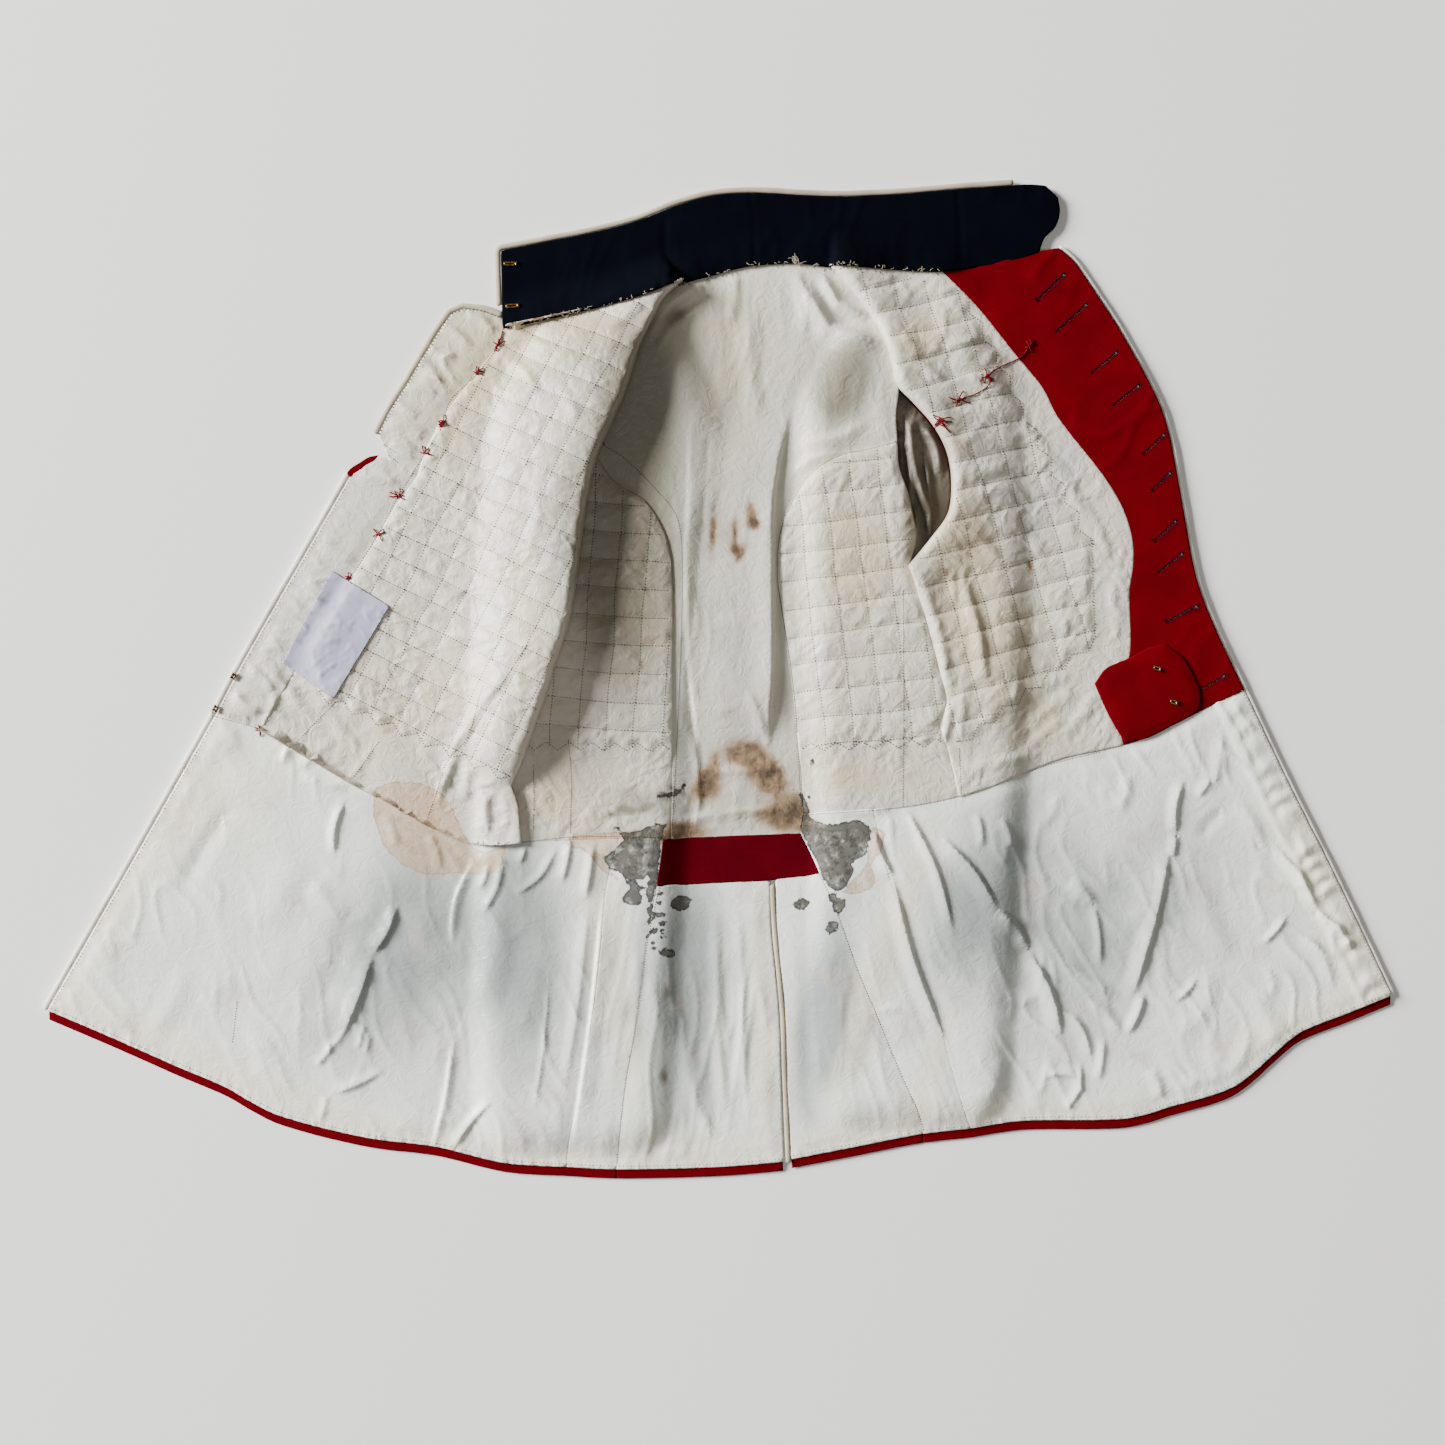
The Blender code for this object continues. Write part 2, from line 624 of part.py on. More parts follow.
def make_plan(rows):
    """One triangulation of the whole garment, with each seam and fold as a line in it."""
    lines = [outline + outline[:1] for name, outline in OUTLINES.items() if name not in SLEEVES
             and name != "front_lining_left"]
    crests = [fold_line(row) for row in rows]
    feet = []
    for row, crest in zip(rows, crests):
        feet += offset(crest, row[5] * FOOT_SHARE) + offset(crest, -row[6] * FOOT_SHARE)
    coords = []
    edges = []
    for line in lines + crests:
        start = len(coords)
        coords += [Vector(p) for p in line]
        edges += [(i, i + 1) for i in range(start, len(coords) - 1)]
    fine = lattice(PLAN_STEP)
    beside = np.min([away(fine, OUTLINES[side], closed=True) for side in SLEEVES], axis=0)
    fine = fine[beside < np.where(lift(fine) < SLEEVE_THICK, SLEEVE_RAMP + SLEEVE_EASE, SLEEVE_NEAR)]
    free = np.vstack([fine, lattice(COARSE * PLAN_STEP)])
    for line in crests:
        free = free[away(free, line) > CREST_CLEAR]
    free = np.vstack([free, np.array(feet)])
    for line in lines:
        free = free[away(free, line) > PLAN_STEP * LINE_CLEAR]
    coords += [Vector(p) for p in free]
    verts, _, faces = delaunay_2d_cdt(coords, edges, [], 0, 1e-3)[:3]
    return [tuple(v) for v in verts], turned_up(verts, faces)


def cut(plan, outlines):
    """The plan's triangles inside the outlines, drawn in by half the seam's gap."""
    verts, faces = plan
    centres = np.array([np.mean([verts[i] for i in f], axis=0) for f in faces])
    keep = np.zeros(len(faces), bool)
    for outline in outlines:
        keep |= inside(centres, outline)
    faces = [f for f, k in zip(faces, keep) if k]
    used = sorted({i for f in faces for i in f})
    place = {old: new for new, old in enumerate(used)}
    points = [verts[i] for i in used]
    faces = [tuple(place[i] for i in f) for f in faces]
    rim = border(faces)
    for i, p in zip(rim, offset([points[i] for i in rim], GAP / 2, closed=True)):
        points[i] = p
    return points, faces


def make_material(name, colour, roughness, metallic=0.0):
    material = bpy.data.materials.new(name)
    material.use_nodes = True
    shader = material.node_tree.nodes["Principled BSDF"]
    shader.inputs["Base Color"].default_value = (*colour, 1)
    shader.inputs["Roughness"].default_value = roughness
    shader.inputs["Metallic"].default_value = metallic
    return material


def make_wall(name, material, under, over, bottom, top):
    """A closed wall between a lower and an upper set of triangles with the same rim."""
    low_points, low_faces = under
    high_points, high_faces = over
    low_rim = border(low_faces)
    high_rim = border(high_faces)
    first = min(range(len(high_rim)),
                key=lambda i: math.dist(high_points[high_rim[i]], low_points[low_rim[0]]))
    high_rim = high_rim[first:] + high_rim[:first]
    count = len(low_points)
    coords = [(x * MM, y * MM, z * MM) for (x, y), z in zip(low_points, bottom(low_points))]
    coords += [(x * MM, y * MM, z * MM) for (x, y), z in zip(high_points, top(high_points))]
    faces = [f[::-1] for f in low_faces]
    faces += [tuple(i + count for i in f) for f in high_faces]
    for i in range(len(low_rim)):
        a = low_rim[i - 1]
        b = low_rim[i]
        c = high_rim[i] + count
        d = high_rim[i - 1] + count
        faces += [(a, b, c), (a, c, d)]
    return make_object(name, material, coords, faces)


def make_object(name, material, coords, faces):
    mesh = bpy.data.meshes.new(name)
    mesh.from_pydata(coords, [], faces)
    mesh.materials.append(material)
    mesh.validate()
    obj = bpy.data.objects.new(name, mesh)
    bpy.context.collection.objects.link(obj)
    return obj


def make_bead(name, material, line, diameter, height):
    """A round bead of piping along a line."""
    data = bpy.data.curves.new(name, "CURVE")
    data.dimensions = "3D"
    data.bevel_depth = diameter / 2 * MM
    data.bevel_resolution = 1
    data.use_fill_caps = True
    spline = data.splines.new("POLY")
    spline.points.add(len(line) - 1)
    for point, (x, y) in zip(spline.points, line):
        point.co = (x * MM, y * MM, height * MM, 1)
    data.materials.append(material)
    obj = bpy.data.objects.new(name, data)
    bpy.context.collection.objects.link(obj)
    return obj


def make_eye(name, material, x, y, height, length, width, turn):
    """A flat loop of wire, as long as it is given, lying on the cloth."""
    angle = math.radians(turn)
    radius = (width - WIRE) / 2
    half = (length - width) / 2
    path = []
    for i in range(LOOP_STEPS):
        a = 2 * math.pi * (i + 0.5) / LOOP_STEPS
        path.append((math.cos(a) * radius + math.copysign(half, math.cos(a)),
                     math.sin(a) * radius, math.cos(a), math.sin(a)))
    coords = []
    for px, py, nx, ny in path:
        for k in range(WIRE_STEPS):
            b = 2 * math.pi * k / WIRE_STEPS
            out = math.cos(b) * WIRE / 2
            ux = px + nx * out
            uy = py + ny * out
            coords.append(((x + ux * math.cos(angle) - uy * math.sin(angle)) * MM,
                           (y + ux * math.sin(angle) + uy * math.cos(angle)) * MM,
                           (height + WIRE / 2 + math.sin(b) * WIRE / 2) * MM))
    faces = []
    for i in range(LOOP_STEPS):
        here = i * WIRE_STEPS
        there = (i + 1) % LOOP_STEPS * WIRE_STEPS
        for k in range(WIRE_STEPS):
            following = (k + 1) % WIRE_STEPS
            faces.append((here + k, there + k, there + following, here + following))
    return make_object(name, material, coords, faces)


def make_sleeve(name, material, linings):
    """A sleeve pressed flat: two layers of cloth as one rounded slab, hollowed for the armhole."""
    outline = OUTLINES[name]
    ring = offset(outline, SLEEVE_EDGE, closed=True)
    points = list(ring) + list(lattice(SLEEVE_TOP_STEP))
    pit = []
    rings = []
    if linings:
        pit = OUTLINES[linings]
        rings = [offset(pit, -out, closed=True) for out in PIT_RINGS]
    mesh = triangles(outline, points, rings)
    flat = triangles(outline, list(ring) + list(lattice(SLEEVE_FLAT_STEP)))

    def top(where):
        edge = np.clip(away(where, outline, closed=True) / SLEEVE_EDGE, 0, 1)
        height = SLEEVE_THICK * (SLEEVE_SIDE + (1 - SLEEVE_SIDE) * edge)
        if pit:
            gap = away(where, pit, closed=True)
            gap[inside(where, pit)] = 0
            height = np.where(gap < PIT_RIM, PIT_FLOOR, height)
        return height

    def bottom(where):
        edge = np.clip(away(where, outline, closed=True) / SLEEVE_EDGE, 0, 1)
        return SLEEVE_CHAMFER * (1 - edge)

    return make_wall(name, material, flat, mesh, bottom, top)


def build():
    scarlet = make_material("Scarlet wool cloth", (0.16, 0.001, 0.003), 0.85)
    satin = make_material("Ivory satin lining", (0.76, 0.72, 0.64), 0.38)
    skirt_satin = make_material("White satin lining", (0.72, 0.73, 0.69), 0.34)
    quilted = make_material("Quilted satin lining", (0.74, 0.68, 0.60), 0.42)
    navy = make_material("Navy wool cloth", (0.003, 0.006, 0.014), 0.9)
    cream = make_material("Cream piping cloth", (0.62, 0.56, 0.46), 0.8)
    tape = make_material("White label tape", (0.62, 0.60, 0.66), 0.6)
    brass = make_material("Brass wire", (0.42, 0.28, 0.10), 0.35, 1.0)

    plan = make_plan(FOLDS)

    def plain(name, material, parts, bottom, top):
        piece = cut(plan, [OUTLINES[part] for part in parts])
        return make_wall(name, material, piece, piece, bottom, top)

    def quilt(name, form):
        piece = cut(plan, [OUTLINES[name]])
        rim = [piece[0][i] for i in border(piece[1])]
        points = quilt_points(name)
        rest = lattice(PLAN_STEP)
        rest = rest[~inside(rest, QUILT_AREAS[name])]
        over = triangles(rim, np.vstack([points, rest]))
        return make_wall(name, quilted, piece, over,
                         lambda p: form(p)[0], lambda p: form(p)[1])

    # Outer cloth, from the same plan as the lining above it
    outer = {
        "outer_back": ["back_lining"],
        "outer_side_left": ["side_lining_left"],
        "outer_side_right": ["side_lining_right"],
        "outer_front_left": ["front_base_left", "underlap_upper", "underlap_lower"],
        "outer_front_right": ["front_lining_right", "facing"],
        "outer_skirt_front_left": ["outer_skirt_front_left"],
        "outer_skirt_front_right": ["outer_skirt_front_right"],
        "outer_skirt_back_left": ["outer_skirt_back_left"],
        "outer_skirt_back_right": ["outer_skirt_back_right"],
        "outer_collar": ["collar_lining"]}
    for name, parts in outer.items():
        plain(name, scarlet, parts, lift, cloth_top)

    make_sleeve("sleeve_left", scarlet, None)
    make_sleeve("sleeve_right", scarlet, "armhole_lining_right")

    # Lining
    for name in ("underlap_upper", "underlap_lower", "back_lining"):
        plain(name, satin, [name], lining_bottom, lining_top)
    for name in ("skirt_lining_front_left", "pleat_lining_left", "skirt_lining_back_left",
                 "skirt_lining_back_right", "pleat_lining_right", "skirt_lining_front_right"):
        plain(name, skirt_satin, [name], lining_bottom, lining_top)
    for name in ("side_lining_left", "side_lining_right"):
        quilt(name, lambda p, name=name: side_body(name, p))
    quilt("front_lining_right", right_front)
    outline = offset(OUTLINES["front_lining_left"], GAP / 2, closed=True)
    rolled = []
    for ring in ROLL_RINGS:
        rolled += offset(stretch(CHEST_FOLD, (-46, 304), (-158, -71)), -ring)
    seam = offset(curve(FRONT_SEAM_LEFT), -SEAM_RING)
    under = triangles(outline, rolled + list(lattice(PLAN_STEP)) + curve(FRONT_SEAM_LEFT) + seam)
    rest = lattice(PLAN_STEP)
    rest = rest[~inside(rest, QUILT_AREAS["front_lining_left"])]
    puffs = quilt_points("front_lining_left")
    puffs = puffs[away(puffs, curve(CHEST_FOLD)) > FOLD_CLEAR]
    over = triangles(outline, np.vstack([np.array(rolled), puffs, rest]))
    make_wall("front_lining_left", quilted, under, over,
              lambda p: chest(p)[0], lambda p: chest(p)[1])

    armhole = offset(OUTLINES["armhole_lining_right"], GAP / 2, closed=True)
    crests = []
    for row in ARMHOLE_FOLDS:
        crests += fold_line(row) + offset(fold_line(row), row[5]) + offset(fold_line(row), -row[6])
    pit = triangles(armhole, crests)
    make_wall("armhole_lining_right", satin, pit, pit,
              lambda p: PIT_FLOOR + GAP + folds(p, ARMHOLE_FOLDS),
              lambda p: PIT_FLOOR + GAP + SATIN + folds(p, ARMHOLE_FOLDS))

    # Facings and sewn-on pieces
    plain("facing", scarlet, ["facing"], lambda p: cloth_top(p) + GAP,
          lambda p: cloth_top(p) + GAP + CLOTH)
    plain("collar_lining", navy, ["collar_lining"], lambda p: cloth_top(p) + GAP,
          lambda p: cloth_top(p) + GAP + COLLAR_LINING)
    plain("back_waist_patch", scarlet, ["back_waist_patch"], lambda p: cloth_top(p) + GAP,
          lambda p: cloth_top(p) + GAP + CLOTH)
    tab_floor = 2 * CLOTH + 2 * GAP
    rim_step, inner_step = TAB_STEP
    tab = triangles(curve(TAB + TAB[:1], rim_step)[:-1], lattice(inner_step))
    make_wall("hook_tab", scarlet, tab, tab, lambda p: np.full(len(p), tab_floor),
              lambda p: tab_floor + TAB_THICK - TAB_BEVEL * (away(p, TAB, closed=True) < 1))
    sides = [curve([LABEL[i - 1], LABEL[i]], LABEL_STEP) for i in (1, 2, 3, 0)]
    label = triangles(loop(*sides), lattice(LABEL_STEP))

    def label_floor(points):
        right = away(points, curve(PLACKET))
        right[~inside(points, OUTLINES["front_base_left"])] *= -1
        low = CLOTH + SATIN + 2 * GAP
        high = CLOTH + QUILT_HIGH + 2 * GAP
        return low + (high - low) * ease(right / LABEL_RAMP + 1)

    make_wall("size_label", tape, label, label, label_floor,
              lambda p: label_floor(p) + LABEL_THICK)

    # Piping beads outside the edges
    wide = PIPING_WIDE / 2 + GAP
    fine = PIPING_FINE / 2 + GAP
    top_line = offset(curve(COLLAR_TOP), wide)
    end_line = offset(stretch(COLLAR_END, (-175, 300), (-176, 345)), wide)
    corner = [(end_line[-1][0], top_line[0][1])]
    make_bead("collar_piping", cream, end_line[:-1] + corner + top_line[1:-1],
              PIPING_WIDE, COLLAR_BEAD)
    make_bead("front_piping_upper", cream,
              offset(stretch(UNDERLAP_EDGE, (-192, 296), (-275, 196)), -wide),
              PIPING_WIDE, FRONT_BEAD)
    lower = curve(UNDERLAP_LOW_EDGE)[:-1] + curve(SKIRT_EDGE_LEFT)
    make_bead("front_piping_lower", cream, offset(lower, -wide), PIPING_WIDE, FRONT_BEAD)
    facing_line = offset(stretch(FACING_EDGE, (275, 348), (420, -11)), fine)
    make_bead("facing_piping", cream, facing_line[1:-1], PIPING_FINE, FACING_BEAD)
    make_bead("skirt_piping_right", cream, offset(curve(SKIRT_EDGE_RIGHT), fine),
              PIPING_FINE, SKIRT_BEAD)
    vent = [((a[0] + b[0]) / 2, (a[1] + b[1]) / 2) for a, b in
            zip(curve(VENT_LEFT), curve(VENT_RIGHT))]
    make_bead("vent_piping", cream, vent[1:], PIPING_VENT, VENT_BEAD)

    # Hooks and eyes
    collar_height = CLOTH + COLLAR_LINING + 2 * GAP
    make_eye("collar_eye_upper", brass, -170, 335, collar_height, 13, 3.6, 0)
    make_eye("collar_eye_lower", brass, -168, 300, collar_height, 13, 3.6, 4)
    make_eye("edge_hook_upper", brass, -390, 0, PIPING_WIDE + GAP, 8, 4.4, 62)
    make_eye("edge_hook_lower", brass, -404, -26, PIPING_WIDE + GAP, 8, 4.4, 62)
    tab_top = tab_floor + TAB_THICK + GAP
    make_eye("tab_eye_upper", brass, 350, 6, tab_top, 9, 3.8, -15)
    make_eye("tab_eye_lower", brass, 363, -21, tab_top, 9, 3.8, -15)


def hem_outlines():
    """The outer skirts reach past the lining's hem."""
    left = curve(LINING_HEM)
    right = curve(LINING_HEM_RIGHT)

    def between(line, x0, x1):
        return hem_line([p for p in line if x0 - 0.01 <= p[0] <= x1 + 0.01])

    def drop(x, y):
        return [(x, y), (x, y - HEM_SHOWS)]

    OUTLINES["outer_skirt_front_left"] = loop(
        curve(SKIRT_EDGE_LEFT), drop(-534, -266), between(left, -534, -82), drop(-82, -391)[::-1],
        curve(SKIRT_SEAM_LEFT)[::-1], curve(PATCH_LEFT)[::-1],
        stretch(WAIST, (-45, -130), (-403, -30)))
    OUTLINES["outer_skirt_back_left"] = loop(
        curve(PATCH_LEFT), curve(SKIRT_SEAM_LEFT), drop(-82, -391), between(left, -82, 50),
        drop(50, -385)[::-1], curve(VENT_LEFT)[::-1], stretch(PATCH_FOOT, (39, -163), (80, -158)),
        curve(PATCH_RIGHT)[::-1], stretch(BACK_FOOT, (64, -126), (-45, -130)))
    OUTLINES["outer_skirt_back_right"] = loop(
        curve(VENT_RIGHT), drop(57, -383), between(right, 57, 161), drop(161, -363)[::-1],
        curve(SKIRT_SEAM_RIGHT)[::-1], stretch(PATCH_FOOT, (80, -158), (45, -162)))
    OUTLINES["outer_skirt_front_right"] = loop(
        curve(SKIRT_SEAM_RIGHT), drop(161, -363), between(right, 161, 534),
        drop(534, -254)[::-1], curve(SKIRT_EDGE_RIGHT)[::-1],
        stretch(WAIST_RIGHT, (420, -11), (67, -110)), curve(BACK_FOOT_CORNER)[::-1],
        curve(PATCH_RIGHT))


def stand_on_origin():
    """Bring the middle of the outline over the origin."""
    bpy.context.view_layer.update()
    low = Vector((1e9, 1e9, 1e9))
    high = -low
    depsgraph = bpy.context.evaluated_depsgraph_get()
    for obj in bpy.data.objects:
        mesh = obj.evaluated_get(depsgraph).to_mesh()
        for v in mesh.vertices:
            low = Vector(map(min, low, v.co))
            high = Vector(map(max, high, v.co))
    for obj in bpy.data.objects:
        obj.location = (-(low.x + high.x) / 2, -(low.y + high.y) / 2, -low.z)


clear_scene()
hem_outlines()
build()
stand_on_origin()
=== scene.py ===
import math

import bpy
import numpy as np
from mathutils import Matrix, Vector
from mathutils.geometry import delaunay_2d_cdt
from mathutils.kdtree import KDTree


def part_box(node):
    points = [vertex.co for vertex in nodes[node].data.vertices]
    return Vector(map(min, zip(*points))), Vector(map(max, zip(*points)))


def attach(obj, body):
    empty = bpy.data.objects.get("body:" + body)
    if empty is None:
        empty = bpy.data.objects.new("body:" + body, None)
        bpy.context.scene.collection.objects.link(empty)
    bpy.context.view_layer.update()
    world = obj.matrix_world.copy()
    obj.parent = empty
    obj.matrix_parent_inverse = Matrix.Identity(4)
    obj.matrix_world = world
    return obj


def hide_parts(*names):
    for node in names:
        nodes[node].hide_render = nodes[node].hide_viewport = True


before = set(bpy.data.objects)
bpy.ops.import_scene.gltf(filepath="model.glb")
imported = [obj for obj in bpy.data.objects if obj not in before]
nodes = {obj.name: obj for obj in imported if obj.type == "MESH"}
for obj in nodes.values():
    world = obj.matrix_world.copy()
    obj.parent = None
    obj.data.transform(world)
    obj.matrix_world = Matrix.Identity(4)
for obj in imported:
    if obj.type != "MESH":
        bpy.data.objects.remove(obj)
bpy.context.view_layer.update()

MM = 0.001

# Lengths are in millimetres. Places read off the photograph are in its pixels, and at() turns
# them into millimetres in the frame, where one pixel is 0.80 mm of the garment.
PIXEL = 0.80
PIXEL_OVER_ORIGIN = np.array((719.4, 673.7))


def at(*place):
    """Pixels of the photograph, one place or several, as millimetres in the frame."""
    return (np.array(place, float) - PIXEL_OVER_ORIGIN) * (PIXEL, -PIXEL)


# The outer cloth: scarlet wool, milled and shorn until no weave shows, in ten panels. It lies on
# the surface right side down, rides over the two flat sleeves, and shows only at the hem, in the
# notch of the under-lap and through the buttonholes.
CLOTH = 1.8
GAP = 0.3
SEAM_LAP = 0.2
OUTER_STEP = 5.0
OUTER_ROUND = 0.9
RIM_STEP = 2.4
SLEEVE_RISE = 7.6
SLEEVE_EASE = 7.0
SLEEVE_RAMP = 32.0
HEM_SWELL = 0.7
HEM_EASE = 7.0
# Rings of points that shape a rounded edge, as shares of its radius
EDGE_RINGS = (0.22, 0.6, 1.0, 1.7)
# How far a free point keeps from an outline, and the share of them that a plain underside takes
EDGE_CLEAR = 0.22
UNDER_EVERY = 7
UNDER_CLEAR = 1.6
# How far round a hole its edge counts
HOLE_REACH = 40
# Rows of a staggered lattice lie this share of its step apart
LATTICE_ROW = 0.866

# Buttonholes. Columns: pixel of the inner end, pixel of the keyhole end near the front edge.
BUTTONHOLES = [
    (1041, 294, 1069, 268), (1060, 327, 1091, 299), (1096, 369, 1121, 348),
    (1117, 402, 1143, 382), (1147, 452, 1168, 432), (1155, 488, 1174, 471),
    (1157, 540, 1179, 520), (1160, 572, 1185, 553), (1168, 621, 1199, 606),
    (1200, 691, 1226, 676)]
SLIT_WIDTH = 0.5
KEYHOLE = 1.3
CUT_STEPS = 12
# The lining's foot. Columns: pixels of its stretch on each panel, from left to right.
HEM = {
    "skirt_lining_front_left": ((52, 1008), (567, 1162)),
    "pleat_lining_left": ((567, 1162), (617, 1164)),
    "skirt_lining_back_left": ((617, 1164), (782, 1157)),
    "skirt_lining_back_right": ((791, 1154), (921, 1129)),
    "pleat_lining_right": ((921, 1129), (967, 1124)),
    "skirt_lining_front_right": ((967, 1124), (1387, 993))}


def ease(t):
    """From 0 to 1, slow at both ends."""
    t = np.clip(t, 0, 1)
    return t * t * (3 - 2 * t)


def bulge(depth, reach):
    """From 0 at an edge to 1 at its reach, along a quarter circle."""
    return np.sqrt(1 - (1 - np.clip(depth / reach, 0, 1)) ** 2)


def unit(ways):
    """Directions brought to a length of 1."""
    return ways / np.maximum(np.linalg.norm(ways, axis=-1, keepdims=True), 1e-9)


def left_of(ways):
    """Directions turned a quarter to their left."""
    return np.stack([-ways[..., 1], ways[..., 0]], -1)


def turned(points, degrees):
    """Points as they read along axes turned counterclockwise."""
    c = np.cos(np.radians(degrees))
    s = np.sin(np.radians(degrees))
    x, y = points.T
    return np.column_stack([x * c + y * s, y * c - x * s])


def rim_of(name):
    """A CAD panel's outline seen from above, counterclockwise."""
    mesh = nodes[name].data
    places = np.array([v.co for v in mesh.vertices], float).reshape(-1, 3) / MM
    places, number = np.unique(np.round(places, 3), axis=0, return_inverse=True)
    number = number.reshape(-1)
    edges = set()
    for face in mesh.polygons:
        if face.normal.z > 0.02:
            corners = [int(number[i]) for i in face.vertices]
            edges.update((corners[i - 1], corners[i]) for i in range(len(corners)))
    after = {a: b for a, b in edges if (b, a) not in edges}
    rim = [min(after)]
    while after[rim[-1]] != rim[0]:
        rim.append(after[rim[-1]])
    return places[rim, :2]


def smooth(points, step=RIM_STEP, closed=True, corner=30):
    """A line through the points in short steps: rounded where it bends, sharp at corners."""
    points = np.asarray(points, float)
    count = len(points)
    line = []
    for i in range(count if closed else count - 1):
        b = points[i]
        c = points[(i + 1) % count]
        size = np.linalg.norm(c - b)
        slopes = []
        for before, here, after, free in (
                (points[i - 1], b, c, not closed and i == 0),
                (b, c, points[(i + 2) % count], not closed and i == count - 2)):
            one = unit(here - before)
            two = unit(after - here)
            sharp = free or one @ two < math.cos(math.radians(corner))
            slopes.append(unit(c - b if sharp else one + two) * size)
        pieces = max(1, round(size / step))
        for k in range(pieces):
            t = k / pieces
            line.append(b * (2 * t**3 - 3 * t**2 + 1) + slopes[0] * (t**3 - 2 * t**2 + t)
                        + c * (3 * t**2 - 2 * t**3) + slopes[1] * (t**3 - t**2))
    if not closed:
        line.append(points[-1])
    return np.array(line)


def offset(line, distance, closed=True):
    """The line moved to its left, which is inwards on an outline."""
    line = np.asarray(line, float)
    before = np.roll(line, 1, 0)
    after = np.roll(line, -1, 0)
    if not closed:
        before[0] = line[0]
        after[-1] = line[-1]
    return line + left_of(unit(after - before)) * distance


def run(rim, *ends):
    """The stretch of an outline counterclockwise from one place to another, both in pixels."""
    a, b = (int(np.argmin(np.linalg.norm(rim - end, axis=1))) for end in at(*ends))
    return rim[a:b + 1] if a <= b else np.vstack([rim[a:], rim[:b + 1]])


def inside(points, outline):
    """Whether each point lies within an outline."""
    order = np.argsort(points[:, 1])
    x, y = points[order].T
    crossed = np.zeros(len(points), bool)
    for (ax, ay), (bx, by) in zip(np.roll(outline, 1, 0), outline):
        i, j = np.searchsorted(y, (min(ay, by), max(ay, by)))
        if i < j:
            crossed[i:j] ^= x[i:j] < ax + (y[i:j] - ay) * (bx - ax) / (by - ay)
    hit = np.empty(len(points), bool)
    hit[order] = crossed
    return hit


def nearest(points, line):
    """The number of the line's point nearest to each point."""
    if len(line) < 120:
        return np.argmin(((points[:, None] - line[None]) ** 2).sum(2), axis=1)
    tree = KDTree(len(line))
    for i, (x, y) in enumerate(line):
        tree.insert((x, y, 0), i)
    tree.balance()
    return np.array([tree.find((x, y, 0))[1] for x, y in points], int)


def away(points, line, closed=False):
    """Distance of each point from a line of short steps."""
    line = np.asarray(line, float)
    hit = nearest(points, line)
    best = np.linalg.norm(points - line[hit], axis=1)
    for step in (-1, 0):
        a, b = (k % len(line) if closed else np.clip(k, 0, len(line) - 1)
                for k in (hit + step, hit + step + 1))
        d = line[b] - line[a]
        t = np.clip(((points - line[a]) * d).sum(1) / np.maximum((d * d).sum(1), 1e-9), 0, 1)
        best = np.minimum(best, np.linalg.norm(points - line[a] - d * t[:, None], axis=1))
    return best


def outside_by(points, outline):
    """Distance of each point from an outline, 0 within it."""
    gap = away(points, outline, True)
    gap[inside(points, outline)] = 0
    return gap


def depth_of(points, rim, holes):
    """How far each point lies inside a panel's edges; 0 within a hole."""
    depth = away(points, rim, True)
    for hole in holes:
        close = np.linalg.norm(points - hole.mean(0), axis=1) < HOLE_REACH
        depth[close] = np.minimum(depth[close], outside_by(points[close], hole))
    return depth


def lattice(outline, step):
    """Staggered rows of points inside an outline."""
    low = outline.min(0)
    high = outline.max(0)
    rows = []
    for j in range(int((high[1] - low[1]) / (step * LATTICE_ROW)) + 1):
        x = np.arange(low[0] + (j % 2) * step / 2, high[0], step)
        rows.append(np.column_stack([x, np.full(len(x), low[1] + j * step * LATTICE_ROW)]))
    points = np.vstack(rows)
    return points[inside(points, outline)]


def ripple(u, v, seed):
    """Smooth random values between about -1 and 1, with one swell to a unit."""
    u0 = np.floor(u)
    v0 = np.floor(v)
    total = np.zeros(np.shape(u))
    for i in (0, 1):
        for j in (0, 1):
            turn = np.sin((u0 + i) * 127.1 + (v0 + j) * 311.7 + seed * 74.7) * 43758.5453
            turn = 2 * np.pi * (turn - np.floor(turn))
            a = u - u0 - i
            b = v - v0 - j
            total += (np.cos(turn) * a + np.sin(turn) * b) * ease(1 - np.abs(a)) * ease(1 - np.abs(b))
    return total * 1.6


def fill(loops, free):
    """Triangles inside the first loop and outside the others, through the free points."""
    coords = [Vector(p) for ring in loops for p in ring] + [Vector(p) for p in free]
    edges = []
    start = 0
    for ring in loops:
        edges += [(start + i, start + (i + 1) % len(ring)) for i in range(len(ring))]
        start += len(ring)
    verts, _, faces = delaunay_2d_cdt(coords, edges, [], 0, 1e-6, False)[:3]
    places = np.array([tuple(v) for v in verts])
    faces = np.array([f for f in faces if len(f) == 3], int)
    centres = places[faces].mean(1)
    keep = inside(centres, loops[0])
    for ring in loops[1:]:
        keep &= ~inside(centres, ring)
    faces = faces[keep]
    a, b, c = (places[faces[:, k]] for k in range(3))
    turned = (b[:, 0] - a[:, 0]) * (c[:, 1] - a[:, 1]) < (b[:, 1] - a[:, 1]) * (c[:, 0] - a[:, 0])
    faces[turned] = faces[turned][:, ::-1]
    return places, faces


def make_piece(name, coords, faces, material, slot, node=None):
    """A finished piece that rides on the tunic and, if named, stands for a CAD node."""
    mesh = bpy.data.meshes.new(name)
    mesh.from_pydata((np.asarray(coords, float) * MM).tolist(), [], np.asarray(faces).tolist())
    mesh.materials.append(material)
    mesh.shade_smooth()
    piece = bpy.data.objects.new(name, mesh)
    bpy.context.scene.collection.objects.link(piece)
    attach(piece, "root")
    if node:
        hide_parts(node)
    return piece


